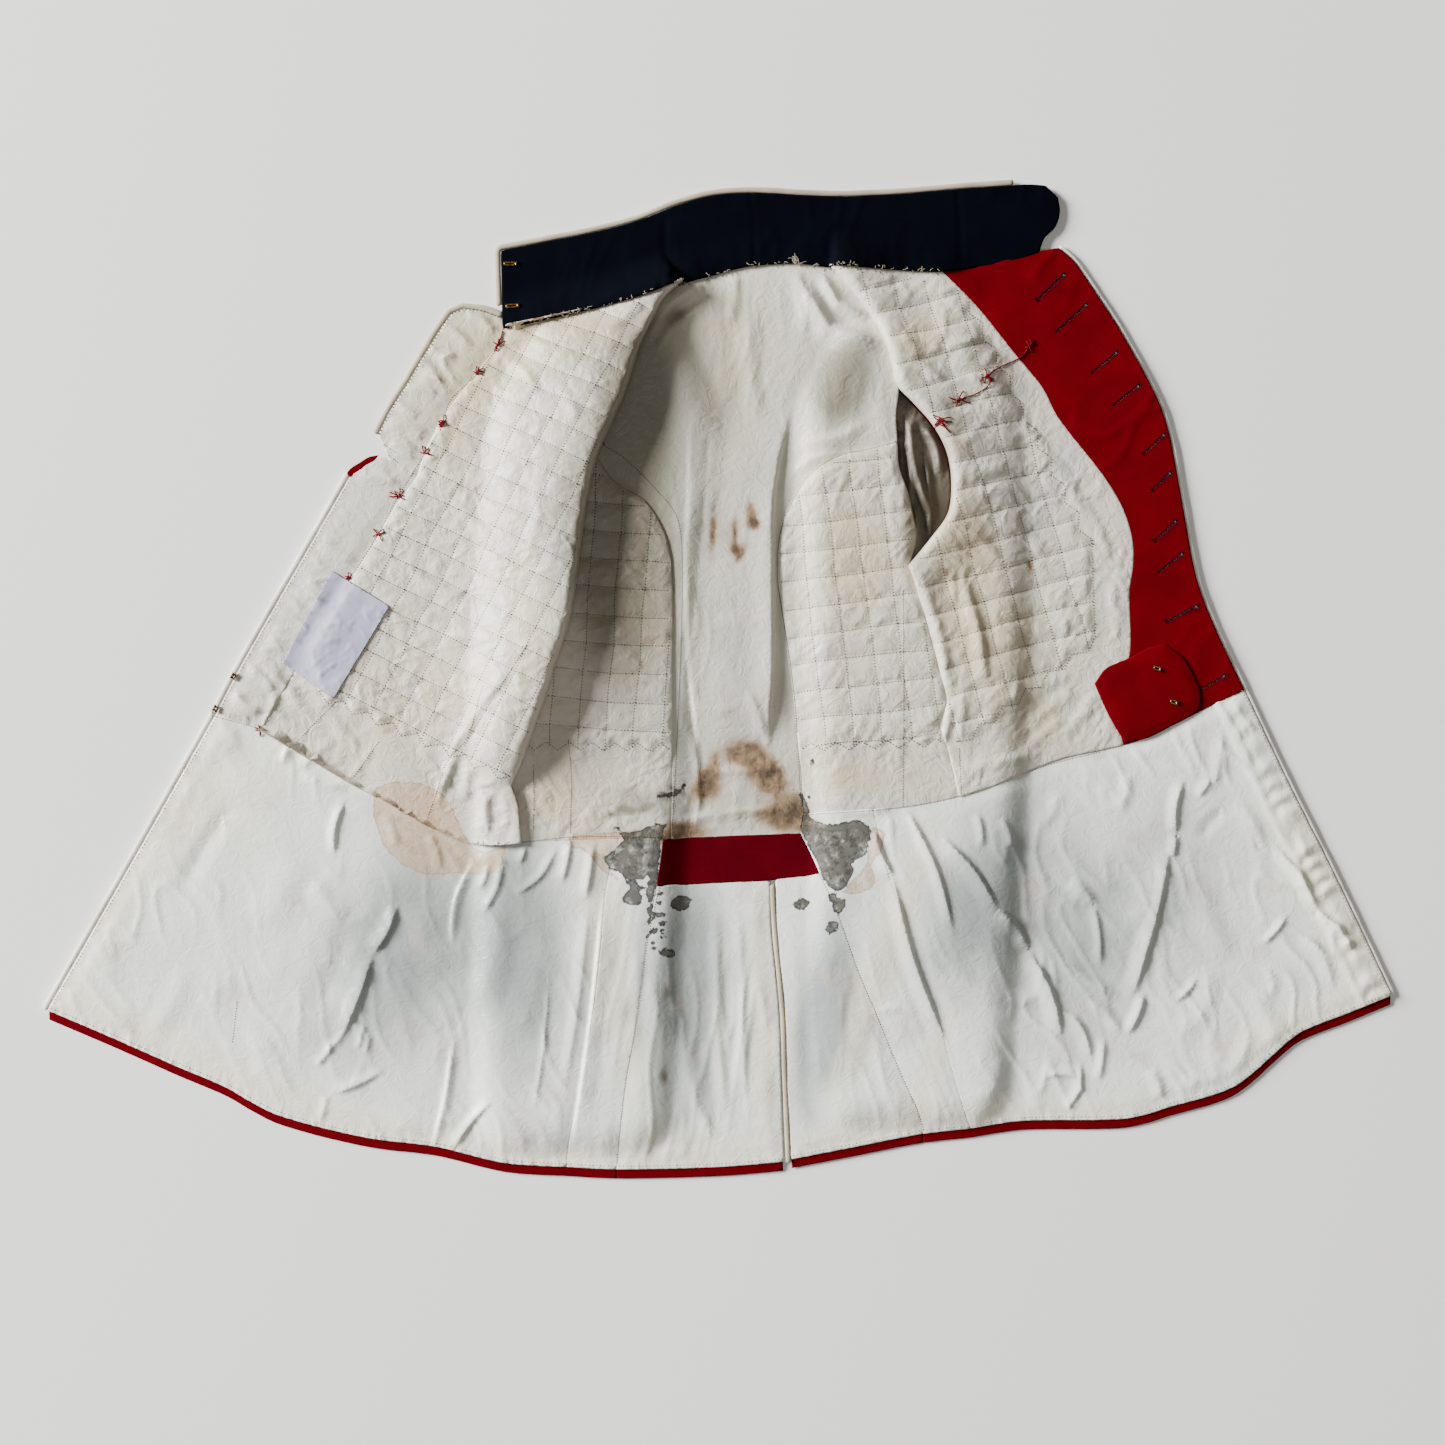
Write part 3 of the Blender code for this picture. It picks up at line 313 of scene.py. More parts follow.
def make_cloth(node, rim, top, bottom, step, material, slot, holes=(),
               round_edge=1.4, fields=None, plain_under=False, grid=None):
    """A closed thin shell of cloth for a CAD node, or a small piece of its own. Its two sides meet
    in a rounded edge, and the bottom is a rule like the top, or a thickness."""
    loops = [rim, *holes]
    free = [lattice(rim, step) if grid is None else grid]
    for share in EDGE_RINGS:
        ring = offset(rim, round_edge * share)
        free.append(ring[inside(ring, rim) & (away(ring, rim, True) > round_edge * share * 0.8)])
        free += [offset(hole, -round_edge * share) for hole in holes]
    free = np.vstack(free)
    edge = depth_of(free, rim, holes)
    free = free[edge > EDGE_CLEAR]
    edge = edge[edge > EDGE_CLEAR]
    rims = sum(len(ring) for ring in loops)

    def side(points):
        places, faces = fill(loops, points)
        depth = depth_of(places, rim, holes)
        depth[:rims] = 0
        return places, faces, bulge(depth, round_edge)

    places, faces, q = side(free)
    high = top(places)
    low = high - bottom if isinstance(bottom, float) else bottom(places)
    middle = (high + low) / 2
    coords = np.column_stack([places, middle + (high - middle) * q])
    below = places
    under = faces
    heights = middle + (low - middle) * q
    if plain_under:
        below, under, q = side(free[edge > round_edge * UNDER_CLEAR][::UNDER_EVERY])
        low = bottom(below)
        middle = np.concatenate([middle[:rims], (top(below) + low)[rims:] / 2])
        heights = middle + (low - middle) * q
    lower = np.column_stack([below, heights])[rims:]
    under = np.where(under < rims, under, under + len(coords) - rims)[:, ::-1]
    piece = make_piece(node + "_cloth", np.vstack([coords, lower]), np.vstack([faces, under]),
                       material, slot, node if node in nodes else None)
    for field, rule in (fields or {}).items():
        values = rule(places)
        values = np.vstack([values, (values if below is places else rule(below))[rims:]])
        layer = piece.data.attributes.new(field, "FLOAT_VECTOR", "POINT")
        layer.data.foreach_set("vector", values.astype(np.float32).ravel())
    return piece


sleeve_rims = [smooth(rim_of(side), 4) for side in ("sleeve_left", "sleeve_right")]


def lift(points):
    """How far the flat sleeves beneath raise the body."""
    height = np.zeros(len(points))
    for rim in sleeve_rims:
        gap = outside_by(points, rim)
        height = np.maximum(height, SLEEVE_RISE * ease(1 - (gap - SLEEVE_EASE) / SLEEVE_RAMP))
    return height


def cloth_top(points):
    """The upper side of the outer cloth."""
    return lift(points) + CLOTH


def linear(code):
    """An sRGB hex colour as linear light."""
    parts = [int(code[i:i + 2], 16) / 255 for i in (1, 3, 5)]
    return (*(c / 12.92 if c < 0.04045 else ((c + 0.055) / 1.055) ** 2.4 for c in parts), 1.0)


def feed(node, inputs):
    """Sets a node's inputs, each to a value, a colour's code or the node or socket that feeds it."""
    for key, value in inputs.items():
        if isinstance(value, bpy.types.Node):
            value = next(socket for socket in value.outputs if socket.enabled)
        if isinstance(value, bpy.types.NodeSocket):
            node.id_data.links.new(value, node.inputs[key])
        else:
            node.inputs[key].default_value = linear(value) if isinstance(value, str) else value


def add(tree, kind, inputs=None, **settings):
    """A node with its settings, its values and what feeds it."""
    node = tree.nodes.new(kind)
    for key, value in settings.items():
        setattr(node, key, value)
    feed(node, inputs or {})
    return node


def blank(name):
    """A new material, its node tree, its shader and the coordinates of the object that wears it."""
    material = bpy.data.materials.new(name)
    material.use_nodes = True
    tree = material.node_tree
    place = add(tree, "ShaderNodeTexCoord").outputs["Object"]
    return material, tree, tree.nodes["Principled BSDF"], place


# The two colours of a Mix node, whose sockets have no names of their own
A, B = 6, 7


def wool(name, code, fibre_code):
    """Milled broadcloth: a matt felted face with a faint cloudy nap and single raised fibres."""
    material, tree, shader, place = blank(name)
    # The nap lies in soft clouds about 30 mm wide, and the felted fibres are about 1 mm apart
    cloud = add(tree, "ShaderNodeTexNoise", {"Vector": place, "Scale": 1 / 0.030, "Detail": 3})
    felt = add(tree, "ShaderNodeTexNoise", {"Vector": place, "Scale": 1 / 0.0011, "Detail": 4})
    shade = add(tree, "ShaderNodeMath", {0: cloud, 1: felt}, operation="MULTIPLY")
    amount = add(tree, "ShaderNodeMapRange", {"Value": shade, "From Min": 0.12, "From Max": 0.42})
    mixed = add(tree, "ShaderNodeMix", {"Factor": amount, A: code, B: fibre_code},
                data_type="RGBA")
    bump = add(tree, "ShaderNodeBump", {"Height": felt, "Strength": 0.35, "Distance": 0.0004})
    feed(shader, {"Base Color": mixed, "Normal": bump, "Roughness": 0.88,
                  "Specular IOR Level": 0.04})
    return material


def keyhole(*ends):
    """The cut of one buttonhole: a narrow slit that opens into a round eye."""
    a, b = at(ends[:2], ends[2:])
    d = unit(b - a)
    side = left_of(d)
    reach = math.asin(SLIT_WIDTH / 2 / KEYHOLE)
    t = np.linspace(reach, 2 * math.pi - reach, CUT_STEPS)[:, None]
    eye = b - KEYHOLE * (d * np.cos(t) + side * np.sin(t))
    foot = b - d * KEYHOLE * math.cos(reach)
    t = np.linspace(0, 1, CUT_STEPS)[1:, None]
    half = side * SLIT_WIDTH / 2 * (1 - t**6)
    slit = foot + (a - foot) * t
    loop = np.vstack([eye, slit + half, (slit - half)[-2::-1]])
    x, y = loop.T
    return loop if x @ np.roll(y, -1) > y @ np.roll(x, -1) else loop[::-1]


cuts = [keyhole(*row) for row in BUTTONHOLES]
scarlet_wool = wool("Scarlet broadcloth", "#58000C", "#68000F")
lining_hem = np.vstack([run(smooth(rim_of(name)), *ends) for name, ends in HEM.items()])


def hem_top(points):
    """The skirt's outer cloth, a little thicker where its hem is turned up."""
    return cloth_top(points) + HEM_SWELL * ease(1 - away(points, lining_hem) / HEM_EASE)


outer_rims = {}
for node in ("outer_back", "outer_side_left", "outer_side_right", "outer_front_left",
             "outer_front_right", "outer_skirt_front_left", "outer_skirt_front_right",
             "outer_skirt_back_left", "outer_skirt_back_right", "outer_collar"):
    rim = offset(smooth(rim_of(node)), -SEAM_LAP)
    outer_rims[node] = rim
    make_cloth(node, rim, hem_top if "skirt" in node else cloth_top, lift, OUTER_STEP,
               scarlet_wool, "scarlet_cloth", round_edge=OUTER_ROUND, plain_under=True,
               holes=cuts if node == "outer_front_right" else ())

# The sleeves: the same wool, each a tube pressed flat and tucked straight down under the body.
# Nothing of them shows but the right one's mouth, so they keep their plain form.
for node in ("sleeve_left", "sleeve_right"):
    nodes[node].material_slots[0].material = scarlet_wool

# The lining of the back: ivory satin in one piece from collar to waist, loose on the cloth. Two
# folds press a strip flat down its middle, and old damp has stained its foot.
SATIN = 1.2
BRIDGE = 1.0
SATIN_STEP = 2.3
SLACK = 0.9
LOOSE_REACH = 14
LINING_ROUND = 1.2
# How fast a crease rises from its ends, and how much of the lower crease stays at a crossing
CREASE_ENDS = 3.2
CREASE_FOOT = 0.12
CROSSING = 0.35

# Creases of the lining. Columns: pixel of either end, bend to the left of the way in mm, width of
# the left and right side in mm, height in mm, which is negative where a crease is a trough.
CREASES = [
    # The back's pressed folds and the slack at the shoulders
    (777, 470, 775, 742, 0, 5, 24, 1.8), (692, 724, 698, 820, 2, 5, 9, 1.6),
    (713, 272, 643, 343, -9, 9, 14, 4.5), (704, 300, 655, 352, -8, 6, 9, 2.6),
    (801, 274, 884, 342, -16, 10, 16, 5.5), (822, 266, 872, 312, -9, 6, 9, 3.6),
    (797, 262, 806, 330, 5, 6, 12, 2.0), (735, 262, 728, 322, 3, 7, 9, 1.2),
    (752, 300, 760, 420, -4, 10, 14, 1.4), (800, 440, 868, 420, -6, 8, 12, 1.8),
    (793, 470, 846, 452, 4, 7, 9, 1.4), (712, 620, 770, 628, 2, 8, 10, 0.9),
    (690, 700, 735, 712, -2, 7, 9, 1.2), (748, 690, 765, 742, 2, 6, 9, 1.3),
    (700, 770, 790, 765, -3, 7, 9, 1.5), (668, 822, 795, 808, 2, 6, 8, 1.8),
    (720, 360, 700, 520, 4, 14, 16, 1.0), (612, 470, 668, 520, -6, 6, 9, 1.0),
    # Under-lap, from the collar down to the waist
    (436, 318, 470, 345, 3, 6, 9, 1.8), (462, 306, 492, 328, 4, 6, 8, 1.8),
    (424, 340, 456, 352, -3, 5, 8, 1.6), (412, 352, 440, 380, 2, 6, 9, 1.7),
    (400, 385, 436, 392, 3, 6, 8, 1.6), (392, 396, 418, 412, -2, 5, 8, 1.4),
    (380, 420, 424, 432, 3, 6, 9, 1.8), (386, 440, 412, 452, 2, 6, 7, 1.4),
    (352, 470, 398, 478, -2, 6, 8, 1.5), (318, 535, 356, 560, -3, 7, 9, 1.1),
    (300, 585, 322, 610, 3, 6, 9, 0.9), (246, 668, 274, 690, 3, 6, 8, 2.2),
    (232, 690, 262, 712, -3, 6, 9, 2.4), (240, 705, 292, 722, 4, 6, 8, 2.2),
    (258, 668, 304, 712, 5, 7, 9, 2.0), (276, 690, 262, 726, 2, 6, 8, 2.0),
    (222, 712, 252, 720, 2, 5, 7, 1.4),
    # Below the left front's quilting
    (379, 740, 348, 781, 2, 5, 9, 2.0), (336, 742, 300, 770, -3, 7, 9, 1.6),
    (330, 712, 362, 748, -3, 6, 9, 1.6), (362, 700, 392, 742, 4, 6, 9, 1.5),
    (396, 742, 420, 772, -3, 6, 9, 1.8), (400, 760, 380, 800, 3, 6, 10, 1.8),
    (420, 748, 440, 790, 3, 6, 9, 1.6), (352, 768, 384, 782, -2, 6, 8, 1.4),
    (283, 764, 292, 744, 2, 5, 7, 1.8), (300, 772, 350, 786, -3, 5, 9, 1.8),
    # Left skirt
    (399, 904, 374, 955, 3, 3, 12, 2.8), (375, 952, 345, 1035, 2, 3, 13, 3.0),
    (474, 861, 449, 948, -4, 4, 9, -1.3), (476, 858, 452, 946, -6, 7, 4, 2.2),
    (470, 991, 451, 1042, 2, 4, 14, -1.3), (452, 1038, 431, 1145, 2, 4, 15, -1.5),
    (455, 1040, 436, 1144, 2, 7, 3, 1.8), (345, 800, 335, 856, -3, 3, 8, 2.2),
    (335, 1091, 386, 1068, -2, 8, 3, 1.6), (495, 1096, 454, 1148, -2, 3, 8, 2.2),
    (311, 880, 350, 918, -4, 16, 14, 1.6), (350, 921, 316, 1018, 4, 14, 18, -1.3),
    (558, 848, 517, 895, 5, 3, 7, 1.6), (505, 856, 483, 916, 4, 4, 7, 1.8),
    (490, 863, 480, 890, 2, 3, 6, 1.4), (551, 970, 536, 1110, 2, 3, 3, 0.9),
    (238, 800, 180, 897, -3, 14, 12, -1.4), (337, 1038, 318, 1064, 2, 4, 6, 1.6),
    (352, 1018, 330, 1050, 2, 5, 5, 1.3), (366, 1022, 359, 1050, 1, 4, 5, 1.2),
    (371, 1030, 368, 1052, 1, 4, 4, 1.0), (330, 1093, 323, 1118, 1, 5, 6, 1.2),
    (572, 836, 563, 884, 1, 3, 7, 1.8), (594, 842, 586, 900, 1, 4, 8, 2.0),
    (527, 845, 520, 864, 1, 3, 7, 1.4), (424, 900, 452, 975, -12, 22, 24, 1.8),
    (300, 850, 256, 930, 6, 24, 26, 1.2), (500, 905, 476, 1010, 6, 22, 20, 1.4),
    (545, 905, 520, 1040, 5, 20, 22, 1.2), (190, 960, 150, 1040, 5, 16, 16, 1.0),
    (262, 1030, 300, 1090, -5, 14, 16, 1.0), (428, 830, 442, 870, 2, 5, 8, 1.2),
    (385, 812, 398, 850, 2, 6, 9, 1.0),
    # Pleats and back skirts
    (605, 893, 575, 1140, 2, 15, 4, 2.6), (602, 893, 572, 1140, 2, 2.5, 4, -1.2),
    (589, 900, 566, 1090, 2, 5, 9, 1.2), (890, 872, 944, 1042, -4, 3, 12, 3.0),
    (873, 830, 892, 876, -2, 3, 10, 2.8), (907, 810, 952, 935, 5, 3, 9, 2.4),
    (716, 900, 726, 1120, -3, 7, 8, 1.3), (738, 905, 742, 1100, 2, 6, 8, 0.9),
    (660, 1000, 700, 1120, 5, 16, 20, 1.1), (690, 1060, 716, 1140, -4, 8, 10, 1.2),
    (812, 960, 822, 1090, -2, 9, 12, 0.9), (640, 940, 632, 1060, 1, 8, 8, 0.8),
    (870, 1010, 900, 1005, 0, 6, 7, 0.8),
    # Right skirt
    (940, 836, 996, 909, 4, 3, 12, 3.0), (995, 908, 1028, 950, 4, 3, 12, 3.2),
    (1027, 949, 1060, 1038, 5, 3, 13, 3.2), (1183, 780, 1175, 836, -3, 3, 9, 2.6),
    (1175, 834, 1172, 858, 0, 4, 8, 2.2), (1170, 842, 1127, 1002, 3, 4, 13, 3.2),
    (1142, 991, 1124, 1033, 2, 4, 8, 2.6), (1087, 997, 1119, 1032, 2, 8, 8, 1.8),
    (1057, 953, 1116, 997, -3, 9, 10, 1.6), (1092, 903, 1098, 966, 2, 4, 6, 1.8),
    (1066, 882, 1092, 905, 3, 8, 8, 1.6), (1195, 976, 1172, 1000, 2, 3, 6, 1.6),
    (1285, 915, 1260, 944, 1, 3, 6, 1.8), (1274, 847, 1315, 912, 4, 4, 9, 2.6),
    (1314, 910, 1350, 952, 4, 4, 9, 2.6), (1252, 833, 1260, 853, 0, 5, 5, -1.2),
    (1233, 806, 1198, 839, -3, 9, 9, -1.3), (1210, 780, 1198, 797, 0, 4, 8, 1.6),
    (940, 971, 1037, 1003, -5, 12, 10, 1.6), (1078, 1060, 1063, 1108, 6, 3, 7, 1.8),
    (1101, 1035, 1095, 1080, 1, 4, 7, 1.6), (1040, 1074, 1078, 1074, 2, 7, 4, 1.6),
    (1145, 1067, 1157, 1097, 3, 7, 9, 1.4), (975, 812, 980, 848, 2, 4, 7, 1.6),
    (1000, 818, 1012, 848, 2, 4, 7, 1.4), (1068, 1010, 1089, 1058, 3, 5, 9, 1.6),
    (1150, 860, 1136, 930, 4, 14, 16, 1.4), (1200, 880, 1230, 960, -6, 16, 20, 1.4),
    (1236, 800, 1262, 850, 3, 8, 12, 1.2), (1210, 960, 1180, 1040, 6, 14, 18, 1.2),
    (1250, 985, 1290, 1040, -6, 12, 16, 1.2), (1300, 930, 1330, 990, 5, 6, 10, 1.2),
    (1245, 1030, 1225, 1075, 3, 9, 12, 1.0), (1000, 1050, 980, 1100, 3, 10, 12, 1.0),
    (1130, 770, 1118, 812, 2, 8, 10, 1.2), (1222, 730, 1212, 790, 2, 6, 10, 1.4),
    (1060, 790, 1040, 830, 2, 8, 10, 1.0),
    # Tucks along the right waist
    (803, 800, 888, 812, 2, 4, 8, 1.8), (806, 812, 900, 806, -3, 5, 7, 1.4),
    (1012, 768, 1068, 716, 4, 6, 10, 2.2), (952, 752, 1084, 668, 10, 9, 10, 1.8),
    (1062, 742, 1100, 700, 3, 6, 8, 1.8), (1030, 730, 1080, 690, 5, 7, 9, 1.6),
    (962, 775, 1050, 752, 3, 7, 9, 1.8), (1078, 716, 1104, 690, 2, 5, 7, 1.6)]


def crest(x0, y0, x1, y1, bend):
    """The line of one crease, bent to one side in its middle."""
    a, b = at((x0, y0), (x1, y1))
    return smooth([a, (a + b) / 2 + bend * left_of(unit(b - a)), b], 3, closed=False)


def drawn(rows):
    """The rows of a table of creases with their crests worked out."""
    return [(crest(*row[:5]), *row[5:]) for row in rows]


def creases(points, rows):
    """The height of the creases over each point."""
    height = np.zeros(len(points))
    for line, left, right, rise in rows:
        widest = max(left, right)
        close = np.all((points > line.min(0) - widest) & (points < line.max(0) + widest), axis=1)
        if not close.any():
            continue
        spot = points[close]
        hit = nearest(spot, line)
        way = line[np.minimum(hit + 1, len(line) - 1)] - line[np.maximum(hit - 1, 0)]
        gone = spot - line[hit]
        side = way[:, 0] * gone[:, 1] - way[:, 1] * gone[:, 0]
        across = np.clip(away(spot, line) / np.where(side > 0, left, right), 0, 1)
        along = hit / (len(line) - 1)
        swell = ease(np.minimum(along, 1 - along) * CREASE_ENDS + CREASE_FOOT)
        ridge = rise * swell * (1 - across) ** 2 * (1 + 1.5 * across)
        here = height[close]
        height[close] = here + ridge if rise < 0 else (
            np.maximum(here, ridge) + CROSSING * np.minimum(here, ridge))
    return height


def crests(rows, rim):
    """Extra points along the creases within a panel, so that their crests stay crisp."""
    points = np.vstack([offset(line, shift, False) for line, left, right, _ in rows
                        for shift in (-0.3 * right, -1.1, 0, 1.1, 0.3 * left)])
    return points[inside(points, rim)]


def wander(points, size, seed):
    """Smooth random values between about -1 and 1, as wide as the size given."""
    return ripple(points[:, 0] / size, points[:, 1] / size, seed)


lining_creases = drawn(CREASES)


def crumple(points, turn, length, width, seed):
    """Random soft creases from 0 to 1, longer one way than the other."""
    u, v = turned(points, turn).T
    sway = wander(points, length * 0.8, seed + 5) * 0.5
    lines = 1 - np.abs(ripple(u / length, v / width + sway, seed)) * 2.6
    patches = ease(0.5 + wander(points, length * 1.3, seed + 9))
    return np.clip(lines, 0, 1) ** 2 * patches


def gone_along(line):
    """How far each point of a line lies from its start."""
    return np.concatenate([[0], np.cumsum(np.linalg.norm(np.diff(line, axis=0), axis=1))])


def pucker(points, line, reach, wave, height, seed=3.0):
    """Small gathers drawn up by the stitches along a seam."""
    gap = away(points, line)
    along = gone_along(line)[nearest(points, line)]
    uneven = ripple(along / (wave * 2.2), np.full(len(along), seed), 0)
    gather = 0.5 + 0.5 * np.sin(2 * np.pi * (along + gap * 0.25) / wave + 5 * uneven)
    return height * gather * (0.45 + 0.9 * np.abs(uneven)) * ease(1 - gap / reach)


def over_cloth(points):
    """The underside of what lies straight on the outer cloth."""
    return cloth_top(points) + GAP


def lining_floor(points):
    """The underside of the lining, which bridges the slopes beside the sleeves."""
    return over_cloth(points) + BRIDGE * np.abs(np.sin(np.pi * lift(points) / SLEEVE_RISE))


# Marks on the lining. Columns: pixel of the middle, half length and half width in pixels, turn
# in degrees, strength. The brown ones are old damp, cloudy and without an edge.
BROWN_MARKS = [
    (750, 752, 20, 13, -20, 1.2), (730, 754, 20, 12, 10, 0.7), (715, 768, 7, 16, 4, 0.8),
    (757, 762, 17, 13, -38, 0.95), (771, 780, 19, 15, -25, 1.5), (756, 758, 6, 5, 0, 0.5),
    (707, 779, 12, 11, -50, 1.5), (704, 792, 14, 11, 10, 1.1), (692, 800, 8, 20, -12, 0.6),
    (783, 815, 24, 16, -6, 2.0), (795, 802, 9, 14, 0, 0.7), (678, 827, 14, 8, -10, 0.9),
    (692, 832, 24, 9, 2, 1.3), (738, 782, 50, 40, 0, 0.4), (668, 838, 16, 9, 0, 0.7),
    (655, 842, 20, 14, 0, 0.5), (812, 828, 20, 11, 0, 0.7), (836, 838, 28, 14, 0, 0.4),
    (718, 810, 12, 3, 20, 0.4), (742, 812, 26, 3, 4, 0.3), (776, 770, 6, 26, 8, 0.4),
    (712.5, 531, 28, 4.0, 88, 1.25), (752, 514, 16, 6, 98, 1.5), (755, 524, 8, 6, 0, 1.2),
    (735, 534, 20, 3, 90, 1.0), (735.5, 549, 6, 5, 0, 1.4), (740, 556, 9, 3.5, 60, 1.2),
    (728, 532, 18, 28, 0, 0.5), (743, 545, 9, 5, 30, 0.5), (713, 417, 5, 4, 0, 0.7),
    (705, 441, 5, 4, 0, 0.6), (716, 424, 6, 3, 60, 0.4), (750, 478, 4, 3, 0, 0.5),
    (414, 822, 46, 26, -22, 0.42), (450, 856, 50, 12, -6, 0.34), (430, 786, 18, 32, 20, 0.42),
    (1095, 757, 36, 11, 15, 0.4), (1060, 755, 20, 8, 30, 0.3), (960, 500, 10, 40, 0, 0.3),
    (1030, 570, 44, 14, 12, 0.35), (548, 745, 26, 20, 0, 0.3), (852, 885, 22, 8, 0, 0.3),
    (812, 800, 20, 10, 10, 0.2), (958, 446, 16, 12, 0, 0.6), (712, 470, 8, 12, 0, 0.3),
    (1031, 566, 2.4, 8, 0, 1.2), (947, 575, 2.4, 6, 0, 1.1), (480, 376, 40, 34, 20, 0.2),
    (645, 684, 2.6, 2.4, 0, 1.6), (700, 700, 10, 40, 0, 0.2), (984, 540, 22, 34, 20, 0.5),
    (905, 500, 10, 60, 0, 0.25), (513, 800, 14, 22, 0, 0.35)]
# Soft dirt, the faint bars left by something that lay on the skirts, and painted shade under the
# left front's roll, round the right armhole and beside raised folds, in the same columns
GRIME_AND_PAINTED_SHADE = [
    (735, 812, 80, 30, 0, 0.35), (665, 1030, 4, 62, 0, 0.5), (668, 991, 4, 8, 0, 0.9),
    (664, 1073, 5, 8, 0, 0.8), (842, 1010, 6, 60, -13, 0.55), (832, 968, 5, 20, -13, 0.5),
    (560, 745, 46, 46, 0, 0.25), (690, 440, 14, 170, 0, 0.2), (862, 1040, 8, 40, -20, 0.25),
    (628, 1010, 8, 16, 0, 0.3), (735, 540, 40, 40, 0, 0.15), (940, 470, 22, 60, 0, 0.75),
    (912, 470, 10, 100, 0, 0.7), (912, 540, 12, 30, 0, 0.8), (640, 560, 46, 200, 0, 0.36),
    (842, 378, 34, 48, -20, 1.5), (952, 410, 14, 30, 40, 0.4), (738, 700, 26, 70, 0, 0.2),
    (632, 400, 26, 100, -14, 0.75), (662, 430, 20, 110, -4, 0.5), (672, 560, 12, 60, 0, 0.35),
    (560, 460, 80, 200, -20, 0.42), (600, 360, 50, 60, -20, 0.3), (600, 600, 40, 120, 12, 0.7),
    (640, 560, 30, 120, 6, 0.4), (640, 800, 34, 12, -16, 0.45), (612, 814, 9, 4, 0, 0.8),
    (630, 811, 8, 4, 0, 0.8), (646, 808, 8, 4, 20, 0.8), (664, 796, 8, 5, -20, 0.9),
    (622, 808, 8, 4, 0, 0.7), (676, 790, 12, 3, -28, 0.8), (620, 980, 18, 150, 8, 0.3),
    (884, 960, 20, 150, -20, 0.3), (786, 700, 8, 46, 0, 0.5), (648, 856, 24, 30, 0, 0.3),
    (838, 848, 26, 30, 0, 0.3), (676, 312, 12, 8, 40, 0.8)]
# Warm, yellowed satin: turned-in bands, the pleat strips, and cloth over the padding; one row
# beside the left front's roll is painted warm shade
WARMTH = [
    (110, 900, 34, 170, -31, 0.9), (215, 800, 100, 60, 20, 0.6), (150, 1030, 110, 22, -24, 0.8),
    (330, 1105, 130, 20, -18, 0.8), (520, 1148, 110, 17, -10, 0.7), (700, 1146, 110, 20, 0, 0.8),
    (860, 1130, 90, 20, 10, 0.7), (1060, 1110, 130, 18, 0, 0.7), (1290, 1020, 120, 20, 22, 0.8),
    (1330, 900, 30, 190, 24, 0.9), (620, 980, 18, 130, 8, 1.2), (590, 940, 10, 120, 8, 0.5),
    (761, 1010, 13, 150, 0, 1.1), (719, 1000, 6, 120, 0, 0.5), (880, 960, 20, 140, -20, 1.2),
    (930, 1060, 16, 80, -22, 0.8), (480, 350, 60, 60, 0, 0.8), (450, 430, 40, 60, 20, 0.5),
    (570, 330, 60, 34, 0, 1.0), (430, 700, 90, 60, 0, 0.5), (520, 600, 40, 90, 20, 0.4),
    (850, 560, 50, 90, 0, 0.7), (960, 560, 40, 100, 10, 0.8), (1000, 640, 60, 70, 0, 0.5),
    # The row at (640, 600) is painted warm shade beside the left front's roll
    (920, 340, 30, 50, -30, 0.6), (640, 600, 40, 110, 0, 0.5), (730, 350, 40, 80, 0, 0.6),
    (560, 800, 60, 40, 0, 0.6), (850, 780, 50, 30, 0, 0.5), (1050, 720, 50, 40, 20, 0.4)]
# Painted shade and painted grey reflection, cool and greyish: the open middle of the skirts and
# the shaded half of the back
COOL_SHADE_AND_REFLECTION = [
    (400, 950, 80, 150, -20, 0.9), (520, 960, 60, 140, 0, 0.9), (690, 980, 44, 150, 0, 1.0),
    (820, 1010, 30, 130, -8, 1.1), (980, 900, 60, 130, -25, 0.9), (1080, 950, 70, 130, -10, 0.7),
    (1190, 880, 60, 120, 0, 0.5), (450, 560, 60, 40, 0, 0.2), (1060, 480, 20, 110, -25, 0.7),
    (600, 380, 30, 60, 20, 0.4), (560, 520, 20, 60, 20, 0.3), (740, 660, 30, 100, 0, 0.7),
    (640, 990, 10, 100, 0, 0.3), (1010, 600, 40, 40, 0, 0.2), (880, 800, 60, 12, 0, 0.4)]
# Grey wet marks with a dark tide line. Their outlines in pixels, then the small round ones as
# pixel of the middle, half width and half height in pixels.
WET_MARKS = [
    [(666, 824), (653, 825), (638, 831), (618, 832), (625, 839), (614, 850), (604, 858),
     (611, 869), (621, 872), (629, 880), (642, 879), (649, 875), (652, 884), (658, 884), (662, 840)],
    [(627, 880), (630, 888), (625, 893), (624, 900), (632, 904), (640, 903), (643, 898),
     (640, 891), (645, 887), (636, 883), (640, 878)],
    [(650, 874), (658, 874), (657, 884), (655, 893), (653, 909), (655, 915), (650, 924),
     (647, 923), (650, 916), (646, 911), (650, 904), (647, 893)],
    [(668, 903), (681, 895), (692, 900), (684, 909), (675, 909)],
    [(660, 951), (666, 947), (677, 952), (673, 956), (664, 955)],
    [(801, 831), (803, 812), (800, 796), (790, 789), (784, 788), (800, 792), (808, 806),
     (811, 818), (838, 824), (855, 820), (870, 827), (868, 841), (864, 854), (851, 863),
     (853, 870), (848, 880), (842, 888), (829, 887), (820, 870), (811, 850)],
    [(828, 893), (829, 900), (833, 902), (831, 906), (838, 914), (844, 906), (845, 899),
     (837, 896), (836, 892)],
    [(824, 929), (829, 921), (838, 921), (836, 928), (829, 933)],
    [(791, 904), (800, 898), (811, 902), (801, 910)],
    [(655, 800), (661, 797), (669, 798), (685, 787), (685, 785), (669, 793), (661, 793)]]
